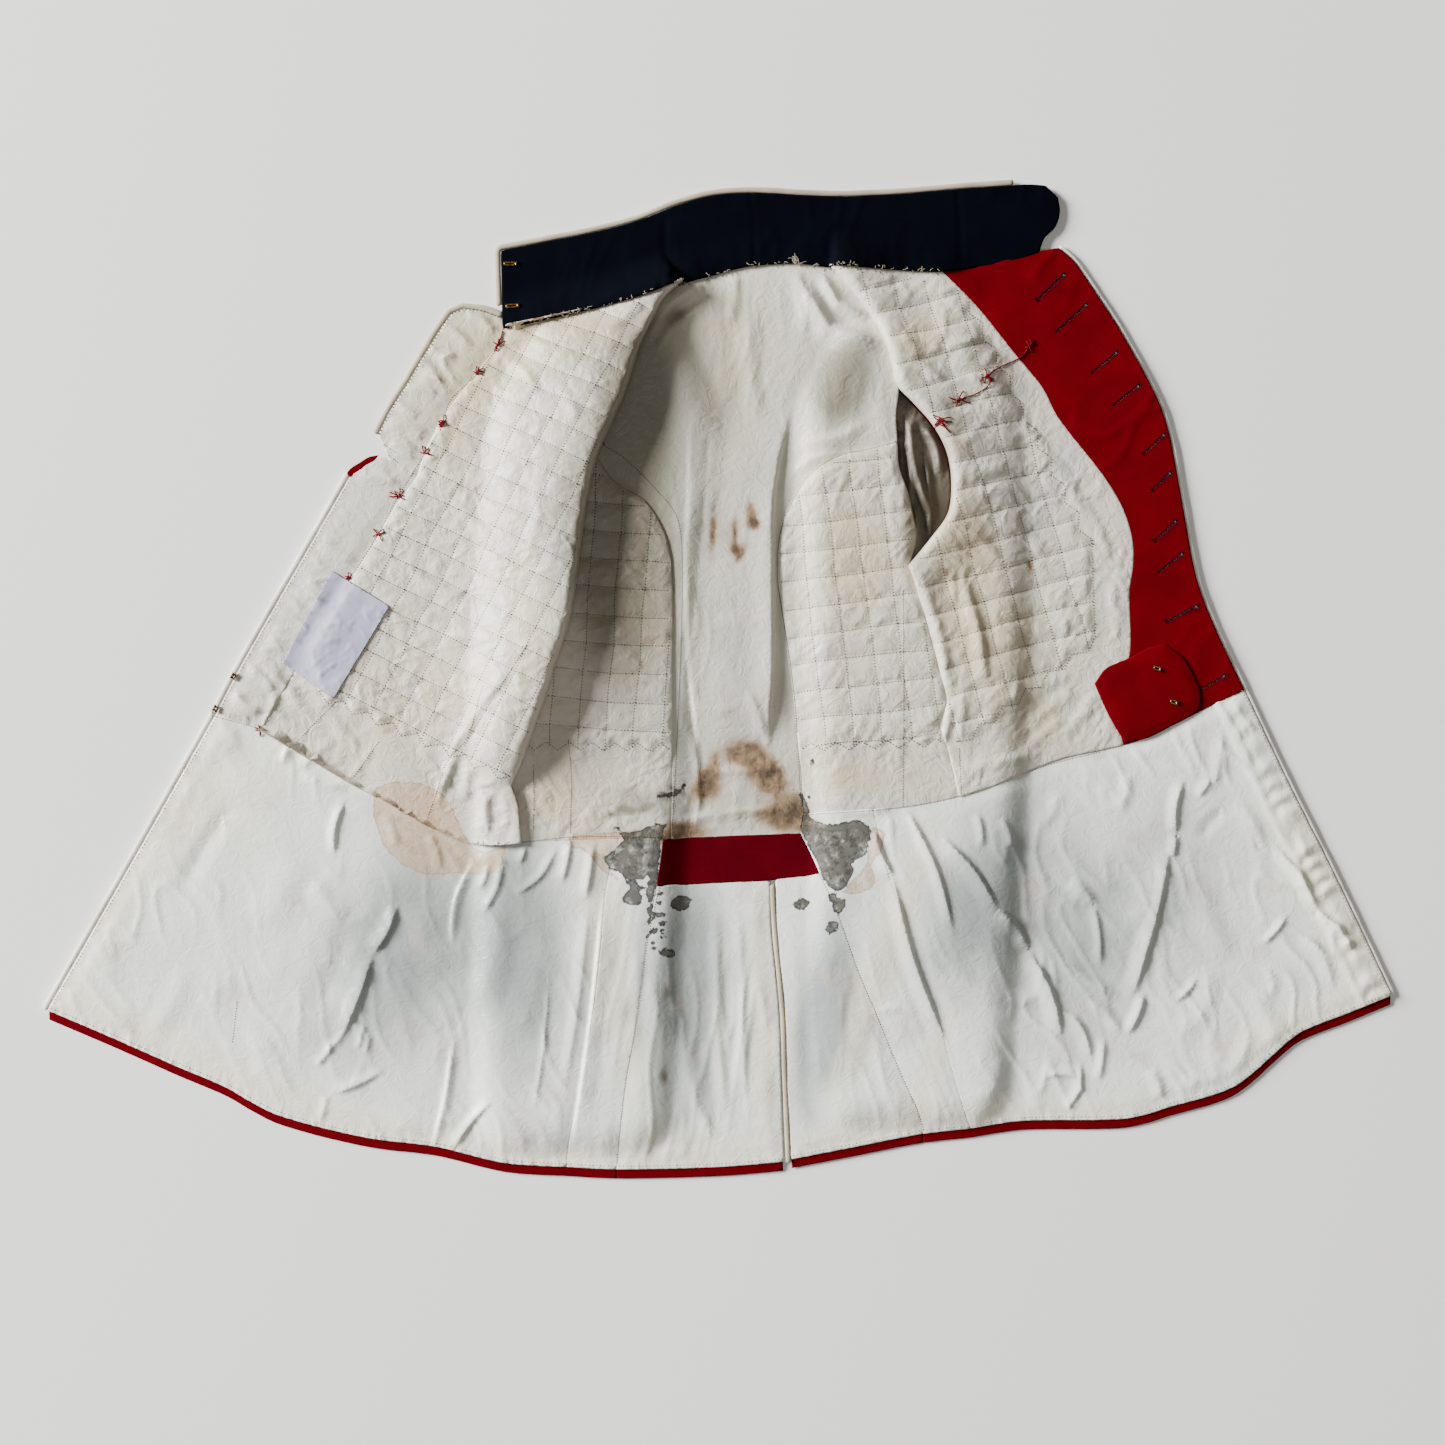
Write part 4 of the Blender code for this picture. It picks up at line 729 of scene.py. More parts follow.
WET_SPOTS = [
    (654, 930, 3.6, 3.6), (660, 893, 3, 2.2), (659, 902, 3, 2.2), (661, 914, 5, 2.4),
    (663, 922, 4, 3), (664, 936, 3.6, 2.2), (654, 941, 2.4, 2), (655, 947, 2.6, 2.2),
    (648, 935, 2.4, 2.4), (812, 763, 2, 3.6), (809, 797, 1.8, 1.8), (662, 929, 3, 2),
    (657, 820, 2, 1.4), (618, 828, 3, 1.6)]
# Pale washes of tan: the damp round the wet marks, and an old spill at the left waist
FRINGES = [
    [(563, 842), (577, 836), (600, 834), (640, 828), (625, 842), (606, 858), (612, 872),
     (620, 880), (601, 868), (588, 852), (577, 848)],
    [(864, 866), (868, 842), (872, 826), (884, 832), (880, 850), (870, 866), (874, 880),
     (862, 892), (842, 892), (850, 882)],
    [(373, 790), (392, 782), (440, 792), (480, 850), (508, 846), (500, 868), (455, 873),
     (420, 872), (388, 850), (376, 822)]]
# The most that overlapping clouds add up to, how fast they fade, how deep an outlined mark's edge
# reaches, and how far that edge strays
MOST = 1.6
FADE = 1.2
MARK_REACH = 10.0
EDGE_STRAY = 0.34


def blots(points, rows):
    """Soft clouds of a mark: its strength in the middle, dying away at its edge."""
    field = np.zeros(len(points))
    for x, y, a, b, turn, strength in rows:
        gone = turned(points - at(x, y), turn) / (a * PIXEL, b * PIXEL)
        field += strength * np.exp(-(gone**2).sum(1) * FADE)
    return np.clip(field, 0, MOST)


def depth_in(points, line, outline):
    """Distance of each point from a line round an outline, negative outside it."""
    return away(points, line, True) * np.where(inside(points, outline), 1, -1)


def within_marks(points, outlines):
    """How deep points lie in the outlined marks, from -1 outside to 1, less the stray of an edge."""
    field = np.full(len(points), -1.0)
    for outline in outlines:
        ring = smooth(at(*outline), 1.5, corner=70)
        close = np.all((points > ring.min(0) - MARK_REACH) & (points < ring.max(0) + MARK_REACH), 1)
        if close.any():
            depth = depth_in(points[close], ring, ring)
            field[close] = np.maximum(field[close], np.clip(depth / MARK_REACH, -1, 1))
    return field - EDGE_STRAY


wet_outlines = WET_MARKS + [
    [(x + a * math.cos(t), y + b * math.sin(t)) for t in np.arange(8) * math.pi / 4]
    for x, y, a, b in WET_SPOTS]
satin_fields = {
    "marks": lambda p: np.column_stack([
        blots(p, BROWN_MARKS), within_marks(p, wet_outlines), within_marks(p, FRINGES)]),
    "tone": lambda p: np.column_stack([
        blots(p, WARMTH), blots(p, COOL_SHADE_AND_REFLECTION), blots(p, GRIME_AND_PAINTED_SHADE)])}


def satin(name, code, warm_code, cool_shade_code, roughness, limpness):
    """Lining satin: long floats of thread that shine along the cloth, with slubs, old marks and
    painted shade.
    """
    material, tree, shader, place = blank(name)
    brown, wet, fringe, warm, cool_shade, grime_and_shade = (
        channel for field in satin_fields for channel in add(tree, "ShaderNodeSeparateXYZ", {
            "Vector": add(tree, "ShaderNodeAttribute", attribute_name=field).outputs["Vector"]
        }).outputs)
    # Age and handling, with the painted shade, show in patches about 60 mm wide, bled dye in
    # blooms of 45 mm, and the stains are mottled in sizes of 14, 9 and 5 mm. Limp ripples of 11 mm
    # are too slight to model
    patch, bloom, cloud, fine, stray, limp = (
        add(tree, "ShaderNodeTexNoise", {"Vector": place, "Scale": 1 / size, "Detail": 5,
                                         "Roughness": 0.6, "Distortion": twist})
        for size, twist in ((0.060, 0), (0.045, 0), (0.014, 0.6), (0.009, 0), (0.005, 0.6),
                            (0.011, 1.4)))
    # Slubs: weft threads 0.3 mm wide and up to 14 mm long, drawn wider so that they show
    slub_place = add(tree, "ShaderNodeMapping",
                     {"Vector": place, "Scale": (1 / 0.014, 1 / 0.0008, 1)})
    slub = add(tree, "ShaderNodeTexNoise", {"Vector": slub_place, "Scale": 1.0, "Detail": 2})
    # Layers of colour from below. Columns: a value, what it is multiplied by, what is added, where
    # the layer begins, where it is full, its share there and its colour
    layers = [
        # The cool layer is painted shade and painted grey reflection; the warm layer also carries some
        # painted warm shade
        (patch, 0.9, warm, 0.35, 1.2, 1.0, warm_code), (patch, 0.5, cool_shade, 0.3, 1.2, 0.9, cool_shade_code),
        (bloom, 1.0, 0.0, 0.53, 0.72, 0.4, "#CDB4AC"), (slub, 1.0, 0.0, 0.6, 0.8, 0.22, "#A8A798"),
        # The dirt-and-shade layer is real soiling in some places and painted shade in others
        (grime_and_shade, 1.0, 0.0, 0.0, 1.0, 0.8, "#6B6452"), (cloud, brown, 0.0, 0.0, 0.62, 0.88, "#8C6A41"),
        (fine, brown, 0.0, 0.34, 1.05, 0.9, "#473524")]
    # Pale washes stop in a thin yellow line, and grey wet marks in a dark one
    for depth, wash, share, streak, dark, line, firm in (
            (fringe, "#C39563", 0.5, "#B58A58", 0.3, "#94703F", 0.5),
            (wet, "#46433A", 0.95, "#2E2B27", 0.7, "#1E1B18", 0.95)):
        edge = add(tree, "ShaderNodeMath", {0: stray, 1: 2 * EDGE_STRAY, 2: depth},
                   operation="MULTIPLY_ADD")
        soaked = add(tree, "ShaderNodeMapRange", {
            "Value": edge, "From Min": -0.01, "From Max": 0.05})
        dry = add(tree, "ShaderNodeMath", {0: 1.0, 1: soaked}, operation="SUBTRACT")
        shifted = add(tree, "ShaderNodeMath", {0: edge, 1: 0.035}, operation="SUBTRACT")
        rim = add(tree, "ShaderNodeMath", {0: shifted}, operation="ABSOLUTE")
        rings = add(tree, "ShaderNodeMath", {0: edge, 1: 0.26}, operation="PINGPONG")
        layers += [(fine, soaked, 0.0, 0.1, 0.52, share, wash),
                   (stray, soaked, 0.0, 0.5, 0.64, dark, streak),
                   (rings, 1.0, dry, 0.06, 0.0, dark * 0.8, streak),
                   (rim, 1.0, 0.0, 0.1, 0.0, firm, line)]
    colour = code
    for value, times, plus, low, high, most, layer_code in layers:
        amount = add(tree, "ShaderNodeMath", {0: value, 1: times, 2: plus}, operation="MULTIPLY_ADD")
        amount = add(tree, "ShaderNodeMapRange", {
            "Value": amount, "From Min": low, "From Max": high, "To Max": most},
            interpolation_type="SMOOTHSTEP")
        colour = add(tree, "ShaderNodeMix", {"Factor": amount, A: colour, B: layer_code},
                     data_type="RGBA")
    height = add(tree, "ShaderNodeMath", {0: slub, 1: 0.06, 2: limp}, operation="MULTIPLY_ADD")
    bump = add(tree, "ShaderNodeBump", {"Height": height, "Strength": 0.5, "Distance": limpness})
    feed(shader, {"Base Color": colour, "Normal": bump, "Roughness": roughness,
                  "Specular IOR Level": 0.55, "Sheen Weight": 0.1, "Sheen Roughness": 0.4})
    return material


LINING_LAP = 0.8


def panel_rim(node):
    """A lining panel's outline, drawn a little wide so that it meets its neighbours in a crease."""
    return offset(smooth(rim_of(node)), -LINING_LAP)


# The upper side of every panel that shows, lower ones first
forms = []


def form_at(points):
    """The height of whichever panel lies uppermost at each point."""
    height = lining_floor(points) + SATIN
    for rim, rule in forms:
        hit = inside(points, rim)
        if hit.any():
            height[hit] = rule(points[hit])
    return height


def make_lining(node, material, slot, crease, swell=1.0, extra=None):
    """One lining panel, laid on the cloth below with its creases; crease is a crumple's settings."""
    rim = panel_rim(node)
    turn, length, width, height, seed = crease

    def top(points):
        loose = ease(away(points, rim, True) / LOOSE_REACH)
        return (lining_floor(points) + SATIN + SLACK * swell * loose + creases(points, lining_creases)
                + height * crumple(points, turn, length, width, seed) * (0.1 + 0.9 * loose)
                + 0.5 * wander(points, 34, seed + 2) * loose + (extra(points) if extra else 0))

    grid = np.vstack([lattice(rim, SATIN_STEP), crests(lining_creases, rim)])
    make_cloth(node, rim, top, SATIN, 0, material, slot, round_edge=LINING_ROUND,
               fields=satin_fields, grid=grid)
    forms.append((rim, top))


# The strip down the middle of the back that its two folds press flat: its outline in pixels, its
# rise over the cloth and the level that it bridges hollows at, and how its sides, top and foot fade
BACK_STRIP = [
    (690, 396), (687, 440), (686, 500), (683, 560), (685, 625), (687, 671), (692, 718), (697, 756),
    (772, 756), (773, 714), (775, 679), (776, 560), (777, 494), (788, 433), (798, 396)]
STRIP_RISE = 1.5
STRIP_LEVEL = 2.9
STRIP_SIDE = 2.8
STRIP_TOP, STRIP_TOP_EASE = 222, 60
STRIP_FOOT, STRIP_FOOT_EASE = -66, 40
strip_rim = smooth(at(*BACK_STRIP), 3, corner=50)


def back_strip(points):
    """How far the pressed strip stands over the rest of the back's lining."""
    depth = away(points, strip_rim, True) * inside(points, strip_rim)
    down = points[:, 1]
    bridged = np.maximum(STRIP_LEVEL - cloth_top(points) + CLOTH, 0)
    fade = (ease(depth / STRIP_SIDE) * ease((STRIP_TOP - down) / STRIP_TOP_EASE)
            * ease((down - STRIP_FOOT) / STRIP_FOOT_EASE))
    return (STRIP_RISE + bridged) * fade


ivory_satin = satin("Ivory lining satin", "#D9D5C7", "#D4C8AC", "#BEC1B9", 0.42, 0.0018)
make_lining("back_lining", ivory_satin, "ivory_satin",
            (80, 60, 14, 0.55, 11.0), extra=back_strip)

# The under-lap: a plain satin strip inside the wearer's right front edge, in two lengths parted
# by a notch. It is felled down by hand close to the piping, which gathers it a little.
for node, crease in (("underlap_upper", (-25, 34, 10, 1.8, 21.0)),
                     ("underlap_lower", (-30, 40, 12, 1.3, 23.0))):
    edge = panel_rim(node)
    make_lining(node, ivory_satin, "ivory_satin", crease,
                extra=lambda p, edge=edge: pucker(p, edge, 7, 7.5, 0.8))

# The body's quilting: satin over wadding, run through by hand in cells of about 22 mm. The rows
# slope with the grain of each panel, and the last row ends in a line of points.
QUILT_LOW = 2.7
QUILT_HIGH = 4.5
QUILT_WANDER = 0.09
# How sharply a row and a column of stitches draw the satin in
ROW_DRAW = 0.45
COLUMN_DRAW = 0.5
PLAIN_STRIP = 2.3
# Stretches over which a height grows: where they start and how wide they are
WADDING_GROWS = (-14, 22)
PUFFS_GROW = (0, 6)
SEAM_GROWS = (0, 7)
# Spacing of a quilted panel's points, and of a line of stitches, in cells
GRID_CELL = 0.1
LINE_CELL = 0.14
STITCH_LENGTH = 1.6
STITCH_PITCH = 2.5
STITCH_WIDTH = 1.3
# How far a stitch stands over the cloth, is let into it and keeps from a seam
STITCH_LIFT = 0.12
STITCH_SINK = 0.25
STITCH_CLEAR = 3


def zigzag(x0, y0, x1, y1, teeth, depth):
    """A line of points that jut to one side, in pixels."""
    a, b = np.array(((x0, y0), (x1, y1)), float)
    step = np.arange(2 * teeth + 1)[:, None]
    return (a + (b - a) * step / 2 / teeth + left_of(unit(b - a)) * depth * (step % 2)).tolist()

# Quilting. Rows: slope in degrees, cell along and across in mm, a pixel where a row and a column
# cross, and the outline of the quilted part in pixels, whose jagged stretch comes first.
QUILTS = {
    "side_lining_left": (-4.0, 22.4, 22.4, (672.5, 592.2), zigzag(524, 742, 684, 744, 7, 8), [
        (690, 744), (690, 440), (560, 440)]),
    "side_lining_right": (6.5, 22.4, 22.4, (782.5, 609.8), zigzag(786, 744, 960, 738, 7, 8), [
        (960, 430), (770, 430)]),
    "front_lining_left": (-26.6, 22.4, 19.2, (496.2, 339.8), zigzag(318, 690, 516, 776, 8, 9), [
        (570, 751), (720, 262), (506, 262), (300, 640)]),
    "front_lining_right": (15.0, 24.0, 22.4, (917.5, 589.8),
                           zigzag(954, 742, 1096, 636, 6, 8)
                           + zigzag(1094, 556, 958, 280, 10, 8), [(830, 256), (895, 551)])}


def quilt_cells(name, points):
    """Where points lie in the quilting, counted in cells along and across the rows."""
    slope, along, across, origin = QUILTS[name][:4]
    cells = turned(points - at(*origin), slope) / (along, across)
    return cells + QUILT_WANDER * np.column_stack([wander(points, 46, 2.0), wander(points, 60, 7.0)])


def quilt_places(name, cells):
    """The points that lie at given cells of the quilting."""
    slope, along, across, origin = QUILTS[name][:4]
    guess = cells.astype(float)
    for _ in range(3):
        points = at(*origin) + turned(guess * (along, across), -slope)
        guess = guess + cells - quilt_cells(name, points)
    return points


def quilt_grid(name, rim):
    """Points in step with the quilting, so that each line of stitches runs along a valley."""
    cells = quilt_cells(name, rim)
    low = np.floor(cells.min(0)) - 0.5
    high = np.ceil(cells.max(0)) + 0.5
    u, v = np.meshgrid(*(np.arange(low[k], high[k], GRID_CELL) for k in range(2)))
    points = quilt_places(name, np.column_stack([u.ravel(), v.ravel()]))
    return points[inside(points, rim)]


quilt_areas = {name: at(*row[4], *row[5]) for name, row in QUILTS.items()}
quilt_edges = {name: smooth(area, 2, corner=1) for name, area in quilt_areas.items()}


def grown(value, start, width):
    """From 0 where a stretch starts to 1 where it ends."""
    return ease((value - start) / width)


def quilting(name, rim, points):
    """Thickness of a quilted panel: soft cells that the rows draw in more than the columns do."""
    u, v = quilt_cells(name, points).T
    puff = np.abs(np.sin(np.pi * v)) ** ROW_DRAW * (
        0.6 + 0.4 * np.abs(np.sin(np.pi * u)) ** COLUMN_DRAW)
    depth = depth_in(points, quilt_edges[name], quilt_areas[name])
    seam = grown(away(points, rim, True), *SEAM_GROWS)
    plain = PLAIN_STRIP if name == "front_lining_right" else SATIN
    low = plain + (QUILT_LOW - plain) * grown(depth, *WADDING_GROWS)
    slack = sum(height * crumple(points, QUILTS[name][0] + turn, length, width, seed)
                for height, turn, length, width, seed in ((0.9, 38, 26, 9, 31.0),
                                                          (0.8, -55, 20, 8, 37.0)))
    return low + (QUILT_HIGH - QUILT_LOW) * puff * seam * grown(depth, *PUFFS_GROW) * (
        0.85 + 0.3 * wander(points, 40, 4.0)) + slack * (0.1 + 0.9 * seam)


def stitch_rows(name, lines, top, material, slot, length=STITCH_LENGTH, pitch=STITCH_PITCH,
                width=STITCH_WIDTH, within=None, slant=0.0):
    """Running stitches along lines: each is a short thread let into the cloth at both ends."""
    places = []
    ways = []
    for line in lines:
        gone = gone_along(line)
        if gone[-1] < pitch:
            continue
        marks = np.arange(pitch / 2, gone[-1], pitch)
        behind, spots, ahead = (
            np.column_stack([np.interp(marks + step, gone, line[:, k]) for k in range(2)])
            for step in (-0.5, 0, 0.5))
        places.append(spots)
        ways.append(unit(ahead - behind))
    places = np.vstack(places)
    ways = np.vstack(ways)
    if within is not None:
        keep = within(places)
        places = places[keep]
        ways = ways[keep]
    ways = turned(ways, slant * np.where(np.arange(len(ways)) % 2, -1, 1))
    side = left_of(ways) * width / 2
    foot = places - ways * length / 2
    tip = places + ways * length / 2
    foot_z, tip_z, z = (top(p) for p in (foot, tip, places))
    middle = np.maximum(z, (foot_z + tip_z) / 2) + STITCH_LIFT
    corners = np.stack([np.column_stack(corner) for corner in (
        (foot, foot_z - STITCH_SINK), (tip, tip_z - STITCH_SINK),
        (places + side, middle - 0.05), (places - side, middle - 0.05),
        (places, middle + width * 0.42), (places, middle - width * 0.5))], 1)
    pattern = np.array([(0, 3, 4), (0, 4, 2), (0, 2, 5), (0, 5, 3),
                        (1, 4, 3), (1, 2, 4), (1, 5, 2), (1, 3, 5)])
    faces = (pattern[None] + 6 * np.arange(len(places))[:, None, None]).reshape(-1, 3)
    make_piece(name, corners.reshape(-1, 3), faces, material, slot)


def thread(name, code, roughness):
    """Spun cotton sewing thread, matt, with a faint change of tone along it."""
    material, tree, shader, place = blank(name)
    twist = add(tree, "ShaderNodeTexNoise", {"Vector": place, "Scale": 1 / 0.002, "Detail": 2})
    dark = tuple(c * 0.6 for c in linear(code)[:3]) + (1.0,)
    mixed = add(tree, "ShaderNodeMix", {"Factor": twist, A: dark, B: code}, data_type="RGBA")
    feed(shader, {"Base Color": mixed, "Roughness": roughness, "Specular IOR Level": 0.1})
    return material


# The quilting thread is drawn darker than tan: its colour also paints the shade of the needle holes
quilt_thread_and_shade = thread("Quilting thread with painted hole shade", "#42352A", 0.8)
quilted_satin = satin("Quilted ivory satin", "#DAD3C5", "#CEC0A3", "#C8C7BF", 0.45, 0.0024)


def quilt_stitches(name, rim, top):
    """The rows, the columns and the jagged ends of one panel's quilting."""
    area = quilt_areas[name]
    cells = quilt_cells(name, area)
    low = np.floor(cells.min(0)).astype(int) - 1
    high = np.ceil(cells.max(0)).astype(int) + 1
    rows = []
    for across in (1, 0):
        steps = np.arange(low[1 - across], high[1 - across], LINE_CELL)
        for k in range(low[across], high[across]):
            row = np.full((len(steps), 2), float(k))
            row[:, 1 - across] = steps
            rows.append(quilt_places(name, row))

    def clear(points):
        return inside(points, rim) & (away(points, rim, True) > STITCH_CLEAR)

    stitch_rows(name + "_stitches", rows, top, quilt_thread_and_shade, "quilted_satin",
                within=lambda p: inside(p, area) & clear(p))
    jagged = smooth(area[:len(QUILTS[name][4])], 2, closed=False, corner=1)
    stitch_rows(name + "_end_stitches", [jagged], top, quilt_thread_and_shade, "quilted_satin", within=clear)


def make_quilted(node, rim, top, bottom, round_edge=1.4):
    """One quilted panel, padded and run through with its stitches."""
    piece = make_cloth(node, rim, top, bottom, 0, quilted_satin, "quilted_satin",
                       round_edge=round_edge, fields=satin_fields, plain_under=True,
                       grid=quilt_grid(node, rim))
    forms.append((rim, top))
    quilt_stitches(node, rim, top)


for node in ("side_lining_left", "side_lining_right"):
    rim = panel_rim(node)
    make_quilted(node, rim, lambda p, node=node, rim=rim: (
        lining_floor(p) + quilting(node, rim, p) + 0.6 * creases(p, lining_creases)),
        lining_floor)

# The left front's quilting, which rolls over the side body in one long soft fold: canvas and
# wadding inside it hold the roll up off the back. Its loose foot is tucked in at the waist.
CHEST_RISE = 15.0
CHEST_REACH = 120.0
CHEST_ROUND = 4.5
PADDING_SLACK = 2.4
STEP_UP = 6.9
STEP_LOW = 3.0
# Stretches over which its heights grow: up the garment, then outwards from the seam beneath
STEP_GROWS = (-105, 50)
FOLD_GROWS = (-112, 96)
FOLD_SINKS = (198, 110)
FOLD_LOSS = 0.45
EDGE_LIFTS = (-16, 14)
SLACK_GROWS = (-130, 40)
OVER_STEP = (-60, 58)
# The middle of a rolled edge, as a share of its height, and half of the cloth's least thickness
ROLL_MIDDLE = 0.45
ROLL_HALF = 0.6
CHEST_CREASES = [
    (513, 673, 462, 748, -4, 5, 9, 2.6), (460, 750, 433, 822, -2, 5, 9, 3.0),
    (484, 690, 449, 757, 3, 4, 7, 2.4), (480, 786, 489, 836, 2, 6, 6, 3.4),
    (492, 790, 482, 838, -2, 6, 6, 3.2), (470, 762, 462, 806, 2, 6, 8, 2.4),
    (452, 790, 446, 826, 2, 5, 8, 2.0), (505, 790, 508, 832, 2, 6, 6, 2.0),
    (514, 776, 517, 820, -1, 6, 4, -0.9), (498, 784, 472, 787, 0, 3, 7, 1.8),
    (645, 300, 600, 330, 3, 8, 10, 2.0), (640, 318, 560, 330, 4, 7, 9, 1.6),
    (520, 335, 600, 350, -3, 6, 8, 1.4), (505, 352, 540, 396, 3, 6, 8, 1.8),
    (560, 388, 580, 430, 3, 6, 8, 1.5), (430, 470, 520, 480, -5, 8, 10, 1.4),
    (450, 500, 500, 560, 4, 8, 10, 1.4), (540, 480, 530, 560, 3, 7, 9, 1.2),
    (380, 600, 440, 620, 4, 7, 9, 1.4), (400, 560, 470, 600, -4, 7, 9, 1.4),
    (440, 640, 500, 640, 3, 7, 9, 1.3), (350, 700, 395, 735, -3, 7, 9, 1.4)]
chest_creases = drawn(CHEST_CREASES)
front_left_rim = panel_rim("front_lining_left")
chest_fold = run(front_left_rim, (522.5, 842), (683.8, 276))
front_base = outer_rims["outer_front_left"]
front_seam = run(front_base, (522.5, 842), (683.8, 276))


def chest_sides(points):
    """Bottom and top of the left front before its rolled edge is rounded."""
    beyond = away(points, front_seam)
    beyond[inside(points, front_base)] *= -1
    down = points[:, 1]
    step = STEP_LOW + (STEP_UP - STEP_LOW) * grown(down, *STEP_GROWS)
    low = lining_floor(points) + step * grown(beyond, *EDGE_LIFTS)
    low = low + PADDING_SLACK * grown(beyond, *SLACK_GROWS)
    near = away(points, chest_fold)
    fade = grown(down, *FOLD_GROWS) * (1 - FOLD_LOSS * grown(down, *FOLD_SINKS))
    rise = CHEST_RISE * fade * ease(1 - near / CHEST_REACH)
    high = lining_floor(points) + quilting("front_lining_left", front_left_rim, points) + rise
    high = high + step * grown(beyond, *OVER_STEP)
    high = high + creases(points, chest_creases) + 0.7 * creases(points, lining_creases)
    return low, np.maximum(high, low + SATIN), near


def rolled(points):
    """Bottom and top of the left front."""
    low, high, near = chest_sides(points)
    q = bulge(near, CHEST_ROUND)
    middle = low + ROLL_MIDDLE * (high - low)
    return (middle - ROLL_HALF - (middle - ROLL_HALF - low) * q,
            middle + ROLL_HALF + (high - middle - ROLL_HALF) * q)


make_quilted("front_lining_left", front_left_rim, lambda p: rolled(p)[1], lambda p: rolled(p)[0],
             round_edge=1.6)

# The right front's quilting, whose edge stands up round the open armhole and runs out to a plain
# strip beside the facing. A deep crease drops from the armhole towards the waist.
ARMHOLE_RISE = 7.0
ARMHOLE_REACH = 45.0
ARMHOLE_ROUND = 7.0
RIGHT_CREASES = [
    (959, 568, 986, 690, 4, 5, 12, 4.0), (950, 572, 953, 606, 2, 4, 7, 2.4),
    (915, 572, 948, 704, 6, 8, 6, 3.2), (948, 704, 940, 746, 2, 6, 5, 3.6),
    (962, 690, 956, 742, 2, 5, 8, 2.4), (1008, 396, 1104, 550, 5, 9, 9, 1.6),
    (985, 340, 1030, 400, 3, 9, 9, 1.8), (1066, 606, 1063, 642, 2, 5, 8, 1.6),
    (900, 332, 920, 356, 3, 6, 9, 2.0), (932, 308, 952, 326, 2, 6, 8, 1.6),
    (948, 300, 932, 352, 4, 6, 9, 1.8), (925, 350, 985, 330, -4, 7, 9, 2.0),
    (902, 352, 948, 388, 4, 7, 9, 2.2), (940, 388, 985, 372, 3, 6, 9, 1.8),
    (955, 408, 1000, 420, 3, 6, 9, 1.8), (962, 448, 990, 420, 3, 6, 9, 2.0),
    (962, 470, 1010, 462, -3, 6, 9, 1.8), (968, 500, 1022, 486, 3, 7, 9, 1.6),
    (955, 530, 1000, 560, 4, 8, 9, 1.8), (1010, 520, 1050, 560, 4, 8, 9, 1.4),
    (1040, 600, 1085, 625, 3, 8, 9, 1.3), (1000, 640, 1040, 660, 3, 8, 9, 1.2),
    (1084, 500, 1112, 560, 3, 6, 8, 1.6), (1110, 580, 1120, 640, 2, 6, 8, 1.2)]
right_creases = drawn(RIGHT_CREASES)
front_right_rim = panel_rim("front_lining_right")
armhole_edge = run(front_right_rim, (831.2, 258.5), (908.8, 566))


def right_front_top(points):
    """The upper side of the right front."""
    near = away(points, armhole_edge)
    low = lining_floor(points)
    high = (low + quilting("front_lining_right", front_right_rim, points)
            + ARMHOLE_RISE * ease(1 - near / ARMHOLE_REACH) + 0.72 * creases(points, right_creases)
            + 0.7 * creases(points, lining_creases))
    middle = low + ROLL_MIDDLE * (high - low) + ROLL_HALF
    return middle + (high - middle) * bulge(near, ARMHOLE_ROUND)


make_quilted("front_lining_right", front_right_rim, right_front_top, lining_floor)

# The sleeve's lining inside the right armhole: satin darkened all over as painted shade, pushed
# down into the sleeve head in upright folds that lie in shadow.
PIT_FLOOR = 3.3
ARMHOLE_FOLDS = [
    (910, 408, 935, 523, -5, 8, 8, 6.0), (924, 420, 942, 476, 4, 6, 6, 4.6),
    (903, 430, 912, 500, 3, 5, 6, 3.6), (926, 450, 930, 540, 3, 4, 5, 3.0),
    (896, 400, 900, 470, 2, 3, 5, 2.6), (916, 500, 914, 548, 2, 3, 4, 2.4)]
armhole_folds = drawn(ARMHOLE_FOLDS)
make_cloth("armhole_lining_right", offset(smooth(rim_of("armhole_lining_right"), 2), -0.1),
           lambda p: (PIT_FLOOR + SATIN + creases(p, armhole_folds)
                      + 1.4 * crumple(p, 80, 30, 7, 41.0)),
           # The very dark satin here is painted shade
           SATIN, 1.6, satin("Sleeve satin in painted shade", "#352D1E", "#302819", "#332E22", 0.5, 0.0014),
           "ivory_satin", fields=satin_fields)

# The skirts' lining: a whiter satin in six panels, sewn to the body at the waist and felled to
# the hem, with a pleat strip on either side of the back. Lying flat has creased it all over.
FACING_WIDTH = 24
# Columns: a crumple's settings, and the reach, wave and height of the gathers along the hem
SKIRTS = {
    "skirt_lining_front_left": ((-66, 60, 22, 0.9, 51.0), (9, 9, 1.0)),
    "pleat_lining_left": ((83, 80, 12, 0.5, 53.0), (8, 9, 0.7)),
    "skirt_lining_back_left": ((86, 90, 16, 0.9, 55.0), (8, 9, 0.7)),
    "skirt_lining_back_right": ((-80, 90, 16, 0.7, 57.0), (8, 9, 0.7)),
    "pleat_lining_right": ((-72, 80, 12, 0.6, 59.0), (8, 9, 0.7)),
    "skirt_lining_front_right": ((-66, 56, 18, 1.1, 61.0), (8, 8, 0.7))}
left_edge = run(panel_rim("skirt_lining_front_left"), (226, 713), (52, 1008))
right_edge = run(panel_rim("skirt_lining_front_right"), (1387, 993), (1245, 690))


def gathers(node, points):
    """What the stitches draw up along the hem and the front edges of a skirt's lining."""
    height = pucker(points, lining_hem, *SKIRTS[node][1])
    if node == "skirt_lining_front_left":
        height = height + pucker(points, left_edge, 8, 8, 0.9)
    if node == "skirt_lining_front_right":
        height = height + 0.8 * ease(1 - np.abs(away(points, right_edge) - FACING_WIDTH) / 5)
        middle = offset(right_edge, FACING_WIDTH / 2, False)
        height = height + pucker(points, middle, 15, 17, 2.2, 8.0)
    return height


